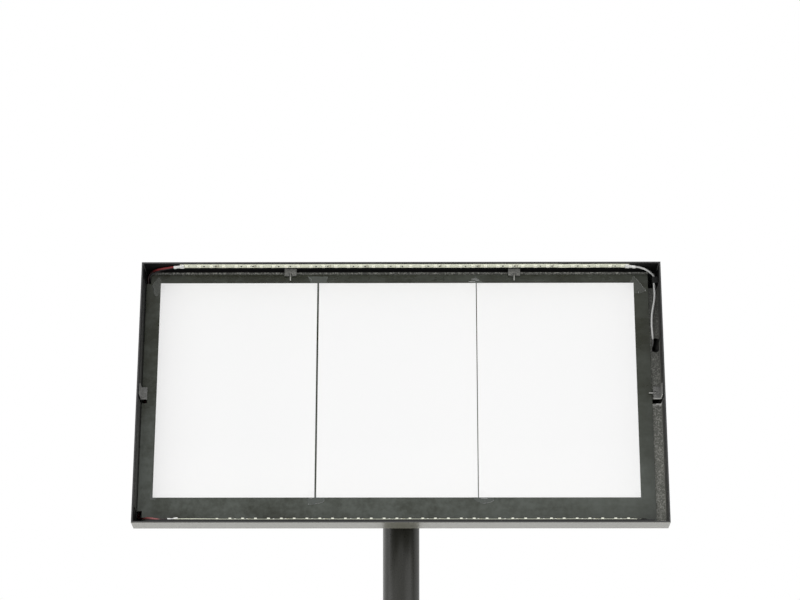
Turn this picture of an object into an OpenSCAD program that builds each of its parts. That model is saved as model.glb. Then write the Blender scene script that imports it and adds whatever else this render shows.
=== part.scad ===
// Illuminated notice board: an open steel case with three paper sheets and two light strips.
// The case leans back on a tilting head at the top of a round post with a base plate.
// The case is drawn upright in its own frame and then leaned back on the pivot:
// x is to the right, y goes into the case from its front rim, z goes up the case.

/* [Case] */
// Width of the case across its outer faces
case_w = 692; // [680:2:760]
// Height of the case along its slope
case_h = 358; // [352:2:420]
// Depth of the four case walls
wall_d = 30; // [28:1:40]
// Sheet thickness of the case walls
case_sheet = 2; // [1:0.5:3]
// Angle that the case leans back from upright at rest
recline = 15; // [0:1:30]

/* [Carrier tray] */
// Sheet thickness of the tray
tray_sheet = 1.2; // [0.8:0.1:2]
// Distance from the tray's back to the rear edge of the walls
tray_recess = 1.5; // [0.5:0.5:4]
// Gap between the tray and the top wall
tray_top_gap = 2.7; // [0.5:0.1:4]
// Distance from the front rim to the side flanges of the tray
flange_inset = 3; // [1:0.5:8]
// Width of the cut through tray and board at the two left corners
notch_w = 8.5; // [8:0.5:10]
// Height of the cut through tray and board at the two left corners
notch_h = 20; // [18:1:24]
// Width of the tray's cut at its top right corner
notch_right_w = 13; // [12.5:0.5:15]
// Height of the tray's cut at its top right corner
notch_right_h = 26; // [24:1:30]
// Width of the slot below each side lug, measured from the flange
slot_w = 8; // [5:0.5:9]
// Width of the slot below the right lug
slot_right_w = 11.5; // [8:0.5:12]
// Height of the slot below each side lug
slot_h = 6; // [4:0.5:6.5]
// Width of the lead's hole
lead_hole_w = 9; // [7:0.5:9]
// Height of the lead's hole
lead_hole_h = 20; // [14:1:26]
// Height of the lead's hole above the middle of the case
lead_hole_z = 70.3; // [60:0.1:80]

/* [Backing board and sheets] */
// Thickness of the backing board
board_t = 3; // [2:0.5:4]
// Gap from the top wall to the board
board_gap_top = 7.2; // [4:0.2:10]
// Gap from the left wall to the board
board_gap_left = 2.6; // [2:0.1:4]
// Gap from the right wall to the board, which leaves room for the lead
board_gap_right = 13.4; // [11.5:0.1:14]
// Width of one paper sheet
sheet_w = 210; // [190:1:212]
// Height of one paper sheet
sheet_h = 297; // [260:1:300]
// Thickness of one laminated sheet
paper_t = 0.3; // [0.2:0.05:0.6]
// Gap between the left and the middle sheet
sheet_gap_left = 2.4; // [1:0.1:4]
// Gap between the middle and the right sheet
sheet_gap_right = 1.2; // [1:0.1:4]
// Margin of the board above the sheets
sheet_margin_top = 12; // [10.5:0.5:16]
// Thickness of the clear film corners
film_t = 0.3; // [0.2:0.05:0.5]

/* [Lugs and pins] */
// Length of a lug along its wall
lug_w = 16; // [14:1:22]
// Reach of a top lug from its wall, and of the right lug from the flange
lug_reach = 10.5; // [9:0.5:11]
// Reach of a top lug from its wall
top_lug_reach = 9.5; // [9:0.5:11]
// Reach of the left lug from the flange
left_lug_reach = 8.5; // [7:0.5:10]
// Thickness of a lug
lug_t = 3.7; // [3.5:0.1:5]
// Distance between the two top lugs
lug_spacing = 300; // [240:5:340]
// Distance of the lugs' middle to the right of the case's middle
lug_shift = 1.7; // [0:0.1:4]
// Height of the side lugs above the middle of the case
side_lug_z = 2.1; // [0:0.1:6]
// Thickness of the leg of a side lug on its wall
lug_leg_t = 1.2; // [0.8:0.1:2]
// Width of the finger notch in a lug
lug_notch_w = 4; // [3:0.5:6]
// Depth of the finger notch from the lug's inner edge
lug_notch_h = 4; // [3:0.5:5]
// Diameter of a pin
pin_d = 1.8; // [1.6:0.2:2.4]
// Length of a pin
pin_len = 11; // [8:0.5:11]
// Length of pin that stands out of its lug
pin_out = 6; // [4:0.5:7]

/* [Light strips] */
// Width of the strip tape
strip_w = 12; // [8:1:12]
// Thickness of the strip tape
strip_t = 0.4; // [0.2:0.1:1]
// Distance from the front rim to the tape
strip_inset = 3; // [3:0.5:6]
// Distance of the strips' middle to the right of the case's middle
strip_shift = 4.6; // [0:0.1:8]
// Shift of the lower strip beyond the upper one
lower_strip_shift = 4; // [-4:0.5:6]
// Length of one segment of strip, between two cut marks
strip_segment = 50; // [40:1:50]
// Least length of wall left free at each end of a strip
strip_end_space = 30; // [24:1:40]
// Width of a light chip
chip_w = 5; // [3:0.5:5]
// Height of a light chip
chip_t = 1.6; // [0.7:0.1:1.6]
// Length of the sleeve on a strip's end
sleeve_len = 13.5; // [10:0.5:16]
// Wall of the sleeve
sleeve_wall = 0.6; // [0.4:0.1:1]
// Height of the ledge that carries the board and the lower strip
ledge_h = 3; // [2:0.5:5]
// Sheet thickness of the ledge
ledge_sheet = 1; // [0.6:0.1:1.5]
// Gap from each side wall to the ledge
ledge_end_gap = 18; // [14:1:22]

/* [Wires] */
// Diameter of the red and the black wire
wire_d = 2; // [1.2:0.1:2]
// Diameter of the white lead
lead_d = 3; // [2.4:0.1:3]

/* [Rear cover] */
// Depth of the rear cover behind the tray
cover_d = 25.5; // [24:0.5:34]
// Sheet thickness of the rear cover
cover_sheet = 1.5; // [1:0.1:2]
// Inward slope of the cover's sides over their depth
cover_taper = 10.5; // [8:0.5:16]
// Gap from the cover's edge to the walls
cover_gap = 0.3; // [0.2:0.1:1]
// Distance of the outer studs from the middle of the case
stud_x = 300; // [250:5:310]
// Distance of the inner studs from the middle of the case
stud_inner_x = 100; // [80:5:140]
// Height of the studs above and below the middle of the case
stud_z = 140; // [130:1:145]
// Diameter of a stud
stud_d = 4; // [3:0.5:5]
// Diameter of the cord's hole in the rear cover
cord_hole_d = 16; // [12:1:20]
// Height of the cord's hole relative to the middle of the case
cord_hole_z = -35; // [-40:1:-20]

/* [Driver] */
// Length of the light driver
driver_len = 180; // [120:5:200]
// Height of the light driver
driver_h = 42; // [30:1:50]
// Thickness of the light driver
driver_t = 20; // [14:1:20]
// Distance of the driver's left end to the right of the case's middle
driver_x = 56; // [50:1:56]
// Height of the driver above the middle of the case
driver_z = 62; // [50:1:70]
// Length of the terminal block
block_len = 36; // [24:1:40]
// Gap between the terminal block and the driver
block_gap = 40; // [30:1:60]

/* [Tilting head] */
// Height of the pivot above the ground
pivot_height = 1195; // [900:5:1400]
// Distance from the rear cover's face to the pivot
pivot_reach = 36; // [34:1:50]
// Height of the pivot relative to the middle of the case
pivot_z = -105; // [-110:1:-95]
// Diameter of the pivot bolt
pivot_d = 12; // [10:1:14]
// Radius of the bracket's ears
ear_r = 18; // [16:1:22]
// Thickness of the bracket
bracket_t = 4; // [3:0.5:5]
// Width of the bracket's plate
bracket_w = 92; // [86:1:110]
// Height of the bracket's plate
bracket_h = 84; // [76:1:90]
// Width of the post head's tongue
tongue_w = 44; // [34:1:46]
// Thickness of a friction washer
friction_t = 1.2; // [0.8:0.1:2]
// Gap between the moving faces of the head
head_gap = 0.3; // [0.2:0.1:0.5]
// Radial clearance of the pivot bolt in the ears
pivot_clearance = 0.05; // [0.02:0.01:0.1]

/* [Post and base] */
// Outer diameter of the post tube
post_d = 48.3; // [42.4:0.1:60.3]
// Wall of the post tube
post_wall = 3; // [2:0.1:4]
// Distance from the pivot down to the top of the tube
post_drop = 52; // [50:1:60]
// Width of the base plate
base_w = 450; // [360:10:600]
// Depth of the base plate
base_d = 400; // [360:10:500]
// Thickness of the base plate
base_t = 8; // [6:1:12]
// Corner radius of the base plate
base_r = 20; // [10:1:40]
// Distance between the anchor holes from side to side
anchor_x = 390; // [300:10:400]
// Distance between the anchor holes from front to back
anchor_y = 340; // [300:10:350]
// Diameter of the anchor holes
anchor_d = 12; // [9:1:14]
// Thickness of the rubber foot pads
pad_t = 4; // [2:1:8]
// Diameter of the rubber foot pads
pad_d = 40; // [30:1:50]
// Diameter of the post flange
flange_d = 130; // [120:1:150]
// Thickness of the post flange
flange_t = 8; // [6:1:10]
// Height of the collar on the post flange
collar_h = 45; // [35:1:60]
// Wall of the collar
collar_wall = 7; // [6:0.5:8]
// Diameter of the circle of flange bolts
flange_pcd = 100; // [96:1:104]
// Diameter of the flange bolts
flange_bolt_d = 10; // [8:1:10]
// Height of the cable gland above the base plate
gland_height = 90; // [80:1:200]
// Diameter of the cable gland's sleeve
gland_d = 16; // [12:1:20]
// Diameter of the cable gland's bore
gland_bore_d = 8; // [5:0.5:10]

/* [Hidden] */
$fn = 64;

// Planes and edges inside the case, in the case's own frame
inner_x = case_w / 2 - case_sheet;
inner_z = case_h / 2 - case_sheet;
tray_back = wall_d - tray_recess;
tray_front = tray_back - tray_sheet;
tray_edge_gap = 0.5;
flange_x = inner_x - tray_sheet;
board_front = tray_front - board_t;
board_left = board_gap_left - inner_x;
board_right = inner_x - board_gap_right;
board_top = inner_z - board_gap_top;
ledge_top = ledge_h - inner_z;
sheets_w = 3 * sheet_w + sheet_gap_left + sheet_gap_right;
sheets_left = (board_left + board_right - sheets_w) / 2;
sheet_top = board_top - sheet_margin_top;
sheet_lefts = [
    sheets_left,
    sheets_left + sheet_w + sheet_gap_left,
    sheets_left + 2 * sheet_w + sheet_gap_left + sheet_gap_right];
seat_gap = 0.3;
lug_rear = board_front - seat_gap;
lug_front = lug_rear - lug_t;
pin_y = lug_rear - lug_t / 2;
pin_clearance = 0.05;
lug_tops_x = [lug_shift - lug_spacing / 2, lug_shift + lug_spacing / 2];
lug_screw_d = 2;
lug_screw_len = 7;
lug_screw_head_t = 1;
lug_screw_offset = lug_w / 2 - 2.8;
slot_bottom = side_lug_z - lug_w / 2 - 4.9;
lead_hole_x = inner_x - 5.9;

strip_room = 2 * (inner_x - strip_end_space - strip_shift);
strip_segments = floor(strip_room / strip_segment);
strip_len = strip_segment * strip_segments;
strip_left = strip_shift - strip_len / 2;
strip_right = strip_shift + strip_len / 2;
chips_per_segment = 3;
chip_pitch = strip_segment / chips_per_segment;
sleeve_cover = 4.9;

cover_back = tray_back + cover_d;
cover_inner = cover_back - cover_sheet;
cover_slope = cover_taper / cover_d;
cover_lip_inset = 0.5;
stud_places = [
    for (x = [-stud_x, -stud_inner_x, stud_inner_x, stud_x], z = [-stud_z, stud_z]) [x, z]];
stud_clearance = 0.2;
washer_t = 0.8;
washer_d = 9;
nut_af = 7;
nut_t = 3.2;
stud_proud = 1;

block_h = 20;
block_t = 14;
block_right = driver_x - block_gap;
input_lead_d = 6;
driver_foot_len = 9;
driver_foot_t = 1.5;
driver_end = driver_x + driver_len - driver_foot_len;
driver_lead_y = cover_inner - driver_t / 2;
clip_low = inner_z - 19.5;
clip_high = inner_z - 11;
clip_left = inner_x - 7.6;
clip_front = tray_front - 5.3;
clip_bore_x = inner_x - 4.6;
clip_bore_y = tray_front - 2;
driver_screw_d = 4;

pivot_y = cover_back + pivot_reach;
bracket_back = cover_back + bracket_t;
ear_inner = tongue_w / 2 + friction_t + head_gap;
ear_outer = ear_inner + bracket_t;
plate_bolt_d = 6;
plate_bolt_x = bracket_w / 2 - 9;
plate_bolt_z = bracket_h / 2 - 12;
plate_bolt_places = [for (x = [-1, 1], z = [-1, 1]) [x * plate_bolt_x, pivot_z + z * plate_bolt_z]];
backing_t = 3;
plate_nut_t = 5;
bolt_clearance = 0.2;
hex_factor = 2 / sqrt(3);

post_top = pivot_height - post_drop;
base_top = pad_t + base_t;
post_inner_d = post_d - 2 * post_wall;
fit_gap = 0.1;
plug_len = 50;
shoulder_t = 6;
tongue_r = ear_r - 2;
bolt_head_t = 7.5;
bolt_head_af = 19;
pivot_nut_t = 10;
pivot_washer_t = 2;
pivot_washer_d = 24;
head_screw_d = 5;
head_screw_drops = [15, 36];
exit_drop = 80;
exit_hole_d = 14;
grub_d = 8;
grub_height = collar_h - 14;
pad_inset_x = 60;
pad_inset_y = 30;
gland_af = 22;
gland_hex_t = 5;
gland_nut_len = 14;
gland_nut_d = 20;
gland_z = base_top + gland_height;
collar_d = post_d + 2 * collar_wall;
bolt_bottom = pad_t + 0.5;

// Colours
steel_black = [0.12, 0.12, 0.115];
textured_black = [0.26, 0.26, 0.25];
board_black = [0.16, 0.165, 0.16];
bright_zinc = [0.75, 0.75, 0.73];
paper_white = [0.96, 0.96, 0.96];
tape_white = [0.85, 0.86, 0.8];

// Route points of the wires. Each is measured from the inner corner of the case that it lies in:
// to the right, into the case from the tray's front, and upwards.
sleeve_reach = sleeve_len - sleeve_cover;
lower_sleeve_end = strip_left + lower_strip_shift - sleeve_reach;
red_top = [
    [33, -17.5, -2.2], [25, -14.8, -2.4], [17, -10.9, -2.6], [10.4, -7.3, -4], [6, -3.7, -7.4],
    [4.2, 0.1, -12], [4.5, 3.3, -17], [5.8, 5.1, -25]];
red_bottom = [
    [5.8, 5.1, 27], [4.5, 3.3, 18], [4.1, -0.3, 12.4], [5.4, -4.3, 9.4], [10.6, -8.9, 7],
    [18, -12.7, 5], [25.6, -15.4, 4.4], [33.6, -17.6, 4.4]];
black_top = [
    [33, -13.9, -2.2], [25.6, -11.3, -2.6], [18.4, -8.3, -3.8], [12, -5.7, -6.4], [7.8, -4.1, -9],
    [6.9, -0.5, -12.6], [7, 3, -16.8], [7.8, 6.1, -23], [8.6, 7.7, -31]];
black_bottom = [
    [8.6, 7.7, 31], [7.8, 6.1, 23.4], [7, 3, 17.4], [6.9, -0.5, 13.2], [7.8, -4.2, 10.4],
    [12.4, -7, 8.8], [20, -10.3, 7], [28.6, -13.4, 5.4]];
lead_corner = [
    [-24.4, -15.5, -1.8], [-18.4, -13.3, -3], [-13, -9.9, -4.8], [-8.6, -6.3, -6.7],
    [-5.6, -3.3, -8.4], [-4.6, -2, -10.4], [-4.6, -2, -20.1], [-4.1, -1.8, -26], [-3.6, -1.7, -34]];
lead_down = [
    [-4.4, -1.7, 63.7], [-6, -1.7, 54.7], [-7.8, -1.7, 46.7], [-9, -1.7, 38.7], [-9.6, -1.7, 30.7],
    [-9.8, -1.8, 22.7], [-9.4, -1.9, 14.8], [-8.1, -1.9, 9.4], [-6.9, -0.7, 5.8], [-6.3, 1.9, 3.6],
    [-6.8, 5.1, 1.7], [-8.6, 8.8, -0.4], [-12.6, 12, -3], [-18.4, 13.9, -6]];
function near(points, x, z) = [for (p = points) [x + p[0], tray_front + p[1], z + p[2]]];
function out_of_sleeve(x, y, z, way) = [[x, y, z], [x + way, y, z]];
red_route = concat(
    out_of_sleeve(strip_left - sleeve_reach, strip_inset + 4.5, inner_z - 2, -1.4),
    near(red_top, -inner_x, inner_z),
    near(red_bottom, -inner_x, -inner_z),
    out_of_sleeve(lower_sleeve_end - 1.4, strip_inset + 5.5, ledge_top + 1.4, 1.4));
black_route = concat(
    out_of_sleeve(strip_left - sleeve_reach, strip_inset + 8.1, inner_z - 2, -1.4),
    near(black_top, -inner_x, inner_z),
    near(black_bottom, -inner_x, -inner_z),
    out_of_sleeve(lower_sleeve_end - 1.4, strip_inset + 8.9, ledge_top + 1.4, 1.4));
lead_route = concat(
    out_of_sleeve(strip_right + sleeve_reach, strip_inset + 6.5, inner_z - 1.8, 1.6),
    near(lead_corner, inner_x, inner_z),
    near(lead_down, inner_x, lead_hole_z),
    [[inner_x - 27, driver_lead_y, driver_z], [driver_end, driver_lead_y, driver_z]]);

// Outlines of the film pieces, each from a corner of a sheet or the middle of a gap
film_places = [
    [sheets_left, sheet_top, [[-2.8, 9.5], [7, -5.5], [5, -11], [-6.5, -18], [-11.6, -2.4]]],
    [sheets_left + sheets_w, sheet_top, [[0.5, 9.8], [-9, -5], [-5, -13.5], [7, -15.2], [17.5, -12.2]]],
    [sheet_lefts[1] - sheet_gap_left / 2, sheet_top, [[-14, 9.6], [13, 9.6], [8.4, -10], [-6, -10]]],
    [sheet_lefts[2] - sheet_gap_right / 2, sheet_top, [[0, 9], [10.5, -1], [0, -11], [-10.5, -1]]],
    [sheet_lefts[1] - sheet_gap_left / 2, sheet_top - sheet_h,
        [[-10, 8], [12, 8], [12.8, -2], [10.4, -7], [-9, -10.4], [-10, -2]]],
    [sheet_lefts[2] - sheet_gap_right / 2, sheet_top - sheet_h,
        [[-8, 9], [8, 9], [21, -4], [15, -7], [6, -9.2], [-5, -4]]],
    [sheets_left, sheet_top - sheet_h, [[-3.4, 6], [7, 7], [4, -3.4], [-3, -3]]],
    [sheets_left + sheets_w, sheet_top - sheet_h, [[-7, 7], [3.4, 6], [3, -3], [-4, -3.4]]]];

module in_case() {
    translate([0, 0, pivot_height])
        rotate([-recline, 0, 0])
            translate([0, -pivot_y, -pivot_z])
                children();
}

// A slab from its two corners
module slab(low, high) {
    translate(low)
        cube(high - low);
}

// A cylinder along y that starts at y0
module rod_y(d, y0, y1, x = 0, z = 0) {
    translate([x, y0, z])
        rotate([-90, 0, 0])
            cylinder(d = d, h = y1 - y0);
}

// A cylinder along x that starts at x0
module rod_x(d, x0, x1, y = 0, z = 0) {
    translate([x0, y, z])
        rotate([0, 90, 0])
            cylinder(d = d, h = x1 - x0);
}

// A hexagon along y, measured across its flats
module hex_y(af, y0, y1, x = 0, z = 0) {
    translate([x, y0, z])
        rotate([-90, 0, 0])
            cylinder(d = af * hex_factor, h = y1 - y0, $fn = 6);
}

// A hexagon along x, measured across its flats
module hex_x(af, x0, x1, y = 0, z = 0) {
    translate([x0, y, z])
        rotate([0, 90, 0])
            cylinder(d = af * hex_factor, h = x1 - x0, $fn = 6);
}

// Frame vectors for a round tube that follows a list of points
function unit(v) = v / norm(v);
function along(p, i) = unit(p[min(i + 1, len(p) - 1)] - p[max(i - 1, 0)]);
function across(t) = unit(cross(t, abs(t[1]) > 0.9 ? [1, 0, 0] : [0, 1, 0]));
function turned(v, t) = unit(v - (v * t) * t);
function sides(p, i) = i == 0 ? across(along(p, 0)) : turned(sides(p, i - 1), along(p, i));
function ring_point(c, t, s, r, a) = c + r * (cos(a) * s + sin(a) * cross(t, s));

// A tube along a route, its ends square to the route
module tube(route, d, count = 8) {
    r = d / 2;
    last = len(route) - 1;
    points = [
        for (i = [0:last])
            let (t = along(route, i), s = sides(route, i))
                for (k = [0:count - 1])
                    ring_point(route[i], t, s, r, 360 * k / count)];
    walls = [
        for (i = [0:last - 1], k = [0:count - 1])
            let (a = i * count + k, b = i * count + (k + 1) % count)
                each [[a, b, a + count], [b, b + count, a + count]]];
    first_cap = [for (k = [1:count - 2]) [0, k + 1, k]];
    last_cap = [for (k = [1:count - 2]) [last * count, last * count + k, last * count + k + 1]];
    polyhedron(points = points, faces = concat(walls, first_cap, last_cap));
}

// Base and post

module base_plate() {
    color(steel_black)
        difference() {
            translate([0, 0, pad_t])
                linear_extrude(base_t)
                    base_outline();
            for (x = [-1, 1], y = [-1, 1])
                translate([x * anchor_x / 2, y * anchor_y / 2, 0])
                    cylinder(d = anchor_d, h = base_top + 1);
            for (a = [45:90:315])
                rotate(a)
                    translate([flange_pcd / 2, 0, 0])
                        cylinder(d = flange_bolt_d + 2 * fit_gap, h = base_top + 1);
        }
}

module base_outline() {
    x = base_w / 2 - base_r;
    y = base_d / 2 - base_r;
    union() {
        square([base_w, 2 * y], center = true);
        square([2 * x, base_d], center = true);
        for (i = [-1, 1], j = [-1, 1])
            translate([i * x, j * y])
                circle(base_r);
    }
}

module foot_pads() {
    color([0.06, 0.06, 0.06])
        for (x = [-1, 1], y = [-1, 1])
            translate([x * (base_w / 2 - pad_inset_x), y * (base_d / 2 - pad_inset_y), 0])
                cylinder(d = pad_d, h = pad_t);
}

module post_flange() {
    color(steel_black)
        translate([0, 0, base_top])
            difference() {
                union() {
                    cylinder(d = flange_d, h = flange_t);
                    cylinder(d = collar_d, h = collar_h);
                }
                translate([0, 0, -1])
                    cylinder(d = post_d + 2 * fit_gap, h = collar_h + 2);
                for (a = [45:90:315])
                    rotate(a)
                        translate([flange_pcd / 2, 0, -1])
                            cylinder(d = flange_bolt_d + 2 * fit_gap, h = flange_t + 2);
                for (s = [-1, 1])
                    translate([s * collar_d / 2, 0, grub_height])
                        rotate([0, 90, 0])
                            cylinder(d = grub_d + 2 * fit_gap, h = 2 * collar_wall + 2, center = true);
            }
}

module flange_bolts() {
    head_z = base_top + flange_t;
    color(bright_zinc)
        for (a = [45:90:315])
            rotate(a)
                translate([flange_pcd / 2, 0, 0]) {
                    translate([0, 0, bolt_bottom])
                        cylinder(d = flange_bolt_d, h = head_z - bolt_bottom);
                    translate([0, 0, head_z])
                        cylinder(d = 2 * flange_bolt_d, h = 2);
                    translate([0, 0, head_z + 2])
                        cylinder(d = 1.7 * flange_bolt_d * hex_factor, h = 0.65 * flange_bolt_d, $fn = 6);
                }
}

module collar_grub_screws() {
    tip = post_d / 2;
    color([0.2, 0.2, 0.2])
        for (a = [0, 180])
            rotate(a)
                difference() {
                    rod_x(grub_d, tip, collar_d / 2 - 0.5, 0, base_top + grub_height);
                    hex_x(grub_d / 2, collar_d / 2 - 3, collar_d / 2, 0, base_top + grub_height);
                }
}

module post_tube() {
    color([0.22, 0.225, 0.21])
        difference() {
            translate([0, 0, base_top])
                cylinder(d = post_d, h = post_top - base_top, $fn = 96);
            translate([0, 0, base_top - 1])
                cylinder(d = post_inner_d, h = post_top - base_top + 2, $fn = 96);
            rod_y(gland_d + 2 * fit_gap, 0, post_d, 0, gland_z);
            rod_y(exit_hole_d, 0, post_d, 0, post_top - exit_drop);
            head_screw_holes();
        }
}

module gland_body() {
    seat = post_d / 2;
    color([0.1, 0.1, 0.1])
        difference() {
            union() {
                rod_y(gland_d, seat - post_wall - 4, seat + 1, 0, gland_z);
                hex_y(gland_af, seat, seat + gland_hex_t, 0, gland_z);
                rod_y(gland_d - 1, seat + gland_hex_t, seat + gland_hex_t + 6, 0, gland_z);
            }
            rod_y(gland_bore_d, 0, post_d, 0, gland_z);
        }
}

module gland_seal() {
    start = post_d / 2 + gland_hex_t + 6 + 0.1;
    color([0.3, 0.3, 0.3])
        difference() {
            rod_y(gland_d - 2, start, start + 6, 0, gland_z);
            rod_y(gland_bore_d, start - 1, start + 8, 0, gland_z);
        }
}

module gland_nut() {
    start = post_d / 2 + gland_hex_t + 0.2;
    finish = start + gland_nut_len;
    color([0.1, 0.1, 0.1])
        difference() {
            union() {
                hex_y(gland_af, start, finish - 4, 0, gland_z);
                rod_y(gland_nut_d, start, finish, 0, gland_z);
            }
            rod_y(gland_d - 0.8, start - 1, finish - 1.5, 0, gland_z);
            rod_y(gland_bore_d, start - 1, finish + 1, 0, gland_z);
        }
}

module post_cable_grommet() {
    hole_z = post_top - exit_drop;
    outer = post_d / 2;
    color([0.08, 0.08, 0.08])
        difference() {
            union() {
                rod_y(exit_hole_d - 0.1, outer - post_wall - 2, outer + 1, 0, hole_z);
                rod_y(exit_hole_d + 4, outer, outer + 1.6, 0, hole_z);
            }
            rod_y(exit_hole_d - 5, 0, post_d, 0, hole_z);
        }
}

module post_head() {
    color(steel_black)
        difference() {
            union() {
                translate([0, 0, post_top - plug_len])
                    cylinder(d = post_inner_d - 2 * fit_gap, h = plug_len);
                translate([0, 0, post_top])
                    cylinder(d = post_d, h = shoulder_t);
                slab([-tongue_w / 2, -tongue_r, post_top + shoulder_t - 1],
                    [tongue_w / 2, tongue_r, pivot_height]);
                rod_x(2 * tongue_r, -tongue_w / 2, tongue_w / 2, 0, pivot_height);
            }
            rod_x(pivot_d + 2 * fit_gap, -tongue_w, tongue_w, 0, pivot_height);
            head_screw_holes();
        }
}

module head_screw_holes() {
    for (drop = head_screw_drops)
        rod_y(head_screw_d + 2 * fit_gap, 0, post_d, 0, post_top - drop);
}

module head_screws() {
    color(bright_zinc)
        for (drop = head_screw_drops) {
            rod_y(head_screw_d, post_d / 2 - post_wall - 12, post_d / 2 + 1, 0, post_top - drop);
            rod_y(9, post_d / 2, post_d / 2 + 2.8, 0, post_top - drop);
        }
}

module friction_washers() {
    color([0.35, 0.3, 0.25])
        for (s = [-1, 1])
            difference() {
                translate([s * (tongue_w + friction_t) / 2, 0, pivot_height])
                    rotate([0, 90, 0])
                        cylinder(r = tongue_r - 1, h = friction_t, center = true);
                rod_x(pivot_d + 2 * fit_gap, -tongue_w, tongue_w, 0, pivot_height);
            }
}

module pivot_bolt() {
    head_x = ear_outer + head_gap + pivot_washer_t;
    color(bright_zinc) {
        rod_x(pivot_d, -head_x, head_x + pivot_nut_t + 2, 0, pivot_height);
        hex_x(bolt_head_af, -head_x - bolt_head_t, -head_x, 0, pivot_height);
    }
}

module pivot_washers() {
    start = ear_outer + head_gap;
    color(bright_zinc)
        for (a = [0, 180])
            rotate(a)
                difference() {
                    rod_x(pivot_washer_d, start, start + pivot_washer_t, 0, pivot_height);
                    rod_x(pivot_d + 2 * fit_gap, start - 1, start + pivot_washer_t + 1, 0, pivot_height);
                }
}

module pivot_nut() {
    start = ear_outer + head_gap + pivot_washer_t;
    color(bright_zinc)
        difference() {
            union() {
                hex_x(bolt_head_af, start, start + 0.75 * pivot_nut_t, 0, pivot_height);
                rod_x(bolt_head_af - 3, start, start + pivot_nut_t, 0, pivot_height);
            }
            rod_x(pivot_d + 2 * fit_gap, start - 1, start + pivot_nut_t + 1, 0, pivot_height);
        }
}

// Case

module case_frame() {
    color(steel_black)
        in_case()
            difference() {
                slab([-case_w / 2, 0, -case_h / 2], [case_w / 2, wall_d, case_h / 2]);
                slab([-inner_x, -1, -inner_z], [inner_x, wall_d + 1, inner_z]);
                for (p = lug_screw_places())
                    lug_screw_hole(p);
            }
}

module carrier_tray() {
    low_z = tray_edge_gap - inner_z;
    top_z = inner_z - tray_top_gap;
    color(textured_black)
        in_case()
            difference() {
                union() {
                    slab([-inner_x, tray_front, low_z], [inner_x, tray_back, top_z]);
                    for (s = [-1, 1])
                        slab([s > 0 ? flange_x : -inner_x, flange_inset, low_z],
                            [s > 0 ? inner_x : -flange_x, tray_back, top_z]);
                }
                left_notches();
                slab([inner_x - notch_right_w, 0, inner_z - notch_right_h],
                    [inner_x + 1, 2 * wall_d, inner_z]);
                for (s = [-1, 1])
                    side_slot(s);
                lead_hole();
                for (p = lug_screw_places())
                    lug_screw_hole(p);
            }
}

// Cuts at the left corners, where the wire pair passes behind the tray
module left_notches() {
    for (t = [-1, 1])
        translate([-inner_x, 0, t * inner_z])
            cube([2 * notch_w, 3 * wall_d, 2 * notch_h], center = true);
}

// The slot through flange, tray and board edge, below a side lug
module side_slot(s) {
    slab([s > 0 ? flange_x - slot_right_w : -inner_x - 1, -1, slot_bottom],
        [s > 0 ? inner_x + 1 : slot_w - flange_x, wall_d + 1, slot_bottom + slot_h]);
}

module lead_hole() {
    straight = (lead_hole_h - lead_hole_w) / 2;
    for (s = [-1, 1])
        rod_y(lead_hole_w, 0, 2 * wall_d, lead_hole_x, lead_hole_z + s * straight);
    slab([lead_hole_x - lead_hole_w / 2, 0, lead_hole_z - straight],
        [lead_hole_x + lead_hole_w / 2, 2 * wall_d, lead_hole_z + straight]);
}

module backing_board() {
    color(board_black)
        in_case()
            difference() {
                slab([board_left, board_front, ledge_top], [board_right, tray_front, board_top]);
                left_notches();
                for (s = [-1, 1])
                    side_slot(s);
            }
}

module paper_sheet(left) {
    color(paper_white)
        in_case()
            slab([left, board_front - paper_t, sheet_top - sheet_h],
                [left + sheet_w, board_front, sheet_top]);
}

module sheet_left() {
    paper_sheet(sheet_lefts[0]);
}

module sheet_middle() {
    paper_sheet(sheet_lefts[1]);
}

module sheet_right() {
    paper_sheet(sheet_lefts[2]);
}

// Clear film over the corners of the sheets, on the board beside them
module film_corners() {
    color([0.8, 0.82, 0.82, 0.4])
        in_case()
            difference() {
                intersection() {
                    union() {
                        for (f = film_places)
                            translate([f[0], board_front, f[1]])
                                rotate([90, 0, 0])
                                    linear_extrude(paper_t + film_t)
                                        polygon(f[2]);
                    }
                    slab([board_left, 0, ledge_top], [board_right, tray_front, board_top]);
                }
                for (left = sheet_lefts)
                    slab([left, board_front - paper_t, sheet_top - sheet_h],
                        [left + sheet_w, board_front + 1, sheet_top]);
            }
}

// Middle of each lug's seat on its wall: x, z and the turn about y of its inward direction
lug_seats = [
    [lug_tops_x[0], inner_z, 180],
    [lug_tops_x[1], inner_z, 180],
    [-flange_x, side_lug_z, 90],
    [flange_x, side_lug_z, -90]];

// Puts a piece drawn about the origin, with z inward, on a lug's seat
module at_lug(i) {
    seat = lug_seats[i];
    translate([seat[0], 0, seat[1]])
        rotate([0, seat[2], 0])
            children();
}

module lug_body(i, reach, leg) {
    color(steel_black)
        in_case()
            difference() {
                at_lug(i)
                    difference() {
                        union() {
                            slab([-lug_w / 2, lug_front, 0], [lug_w / 2, lug_rear, reach]);
                            if (leg)
                                slab([-lug_w / 2, flange_inset, 0], [lug_w / 2, lug_rear, lug_leg_t]);
                        }
                        if (i != 2) {
                            slab([-lug_notch_w / 2, lug_front - 1, lug_reach - lug_notch_h],
                                [lug_notch_w / 2, pin_y, reach + 1]);
                            translate([0, pin_y, -1])
                                cylinder(d = pin_d + 2 * pin_clearance, h = reach + 2);
                        }
                    }
                for (p = lug_screw_places())
                    lug_screw_hole(p);
            }
}

module lug_top_left() {
    lug_body(0, top_lug_reach, false);
}

module lug_top_right() {
    lug_body(1, top_lug_reach, false);
}

module lug_left() {
    lug_body(2, left_lug_reach, true);
}

module lug_right() {
    lug_body(3, lug_reach, true);
}

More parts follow.
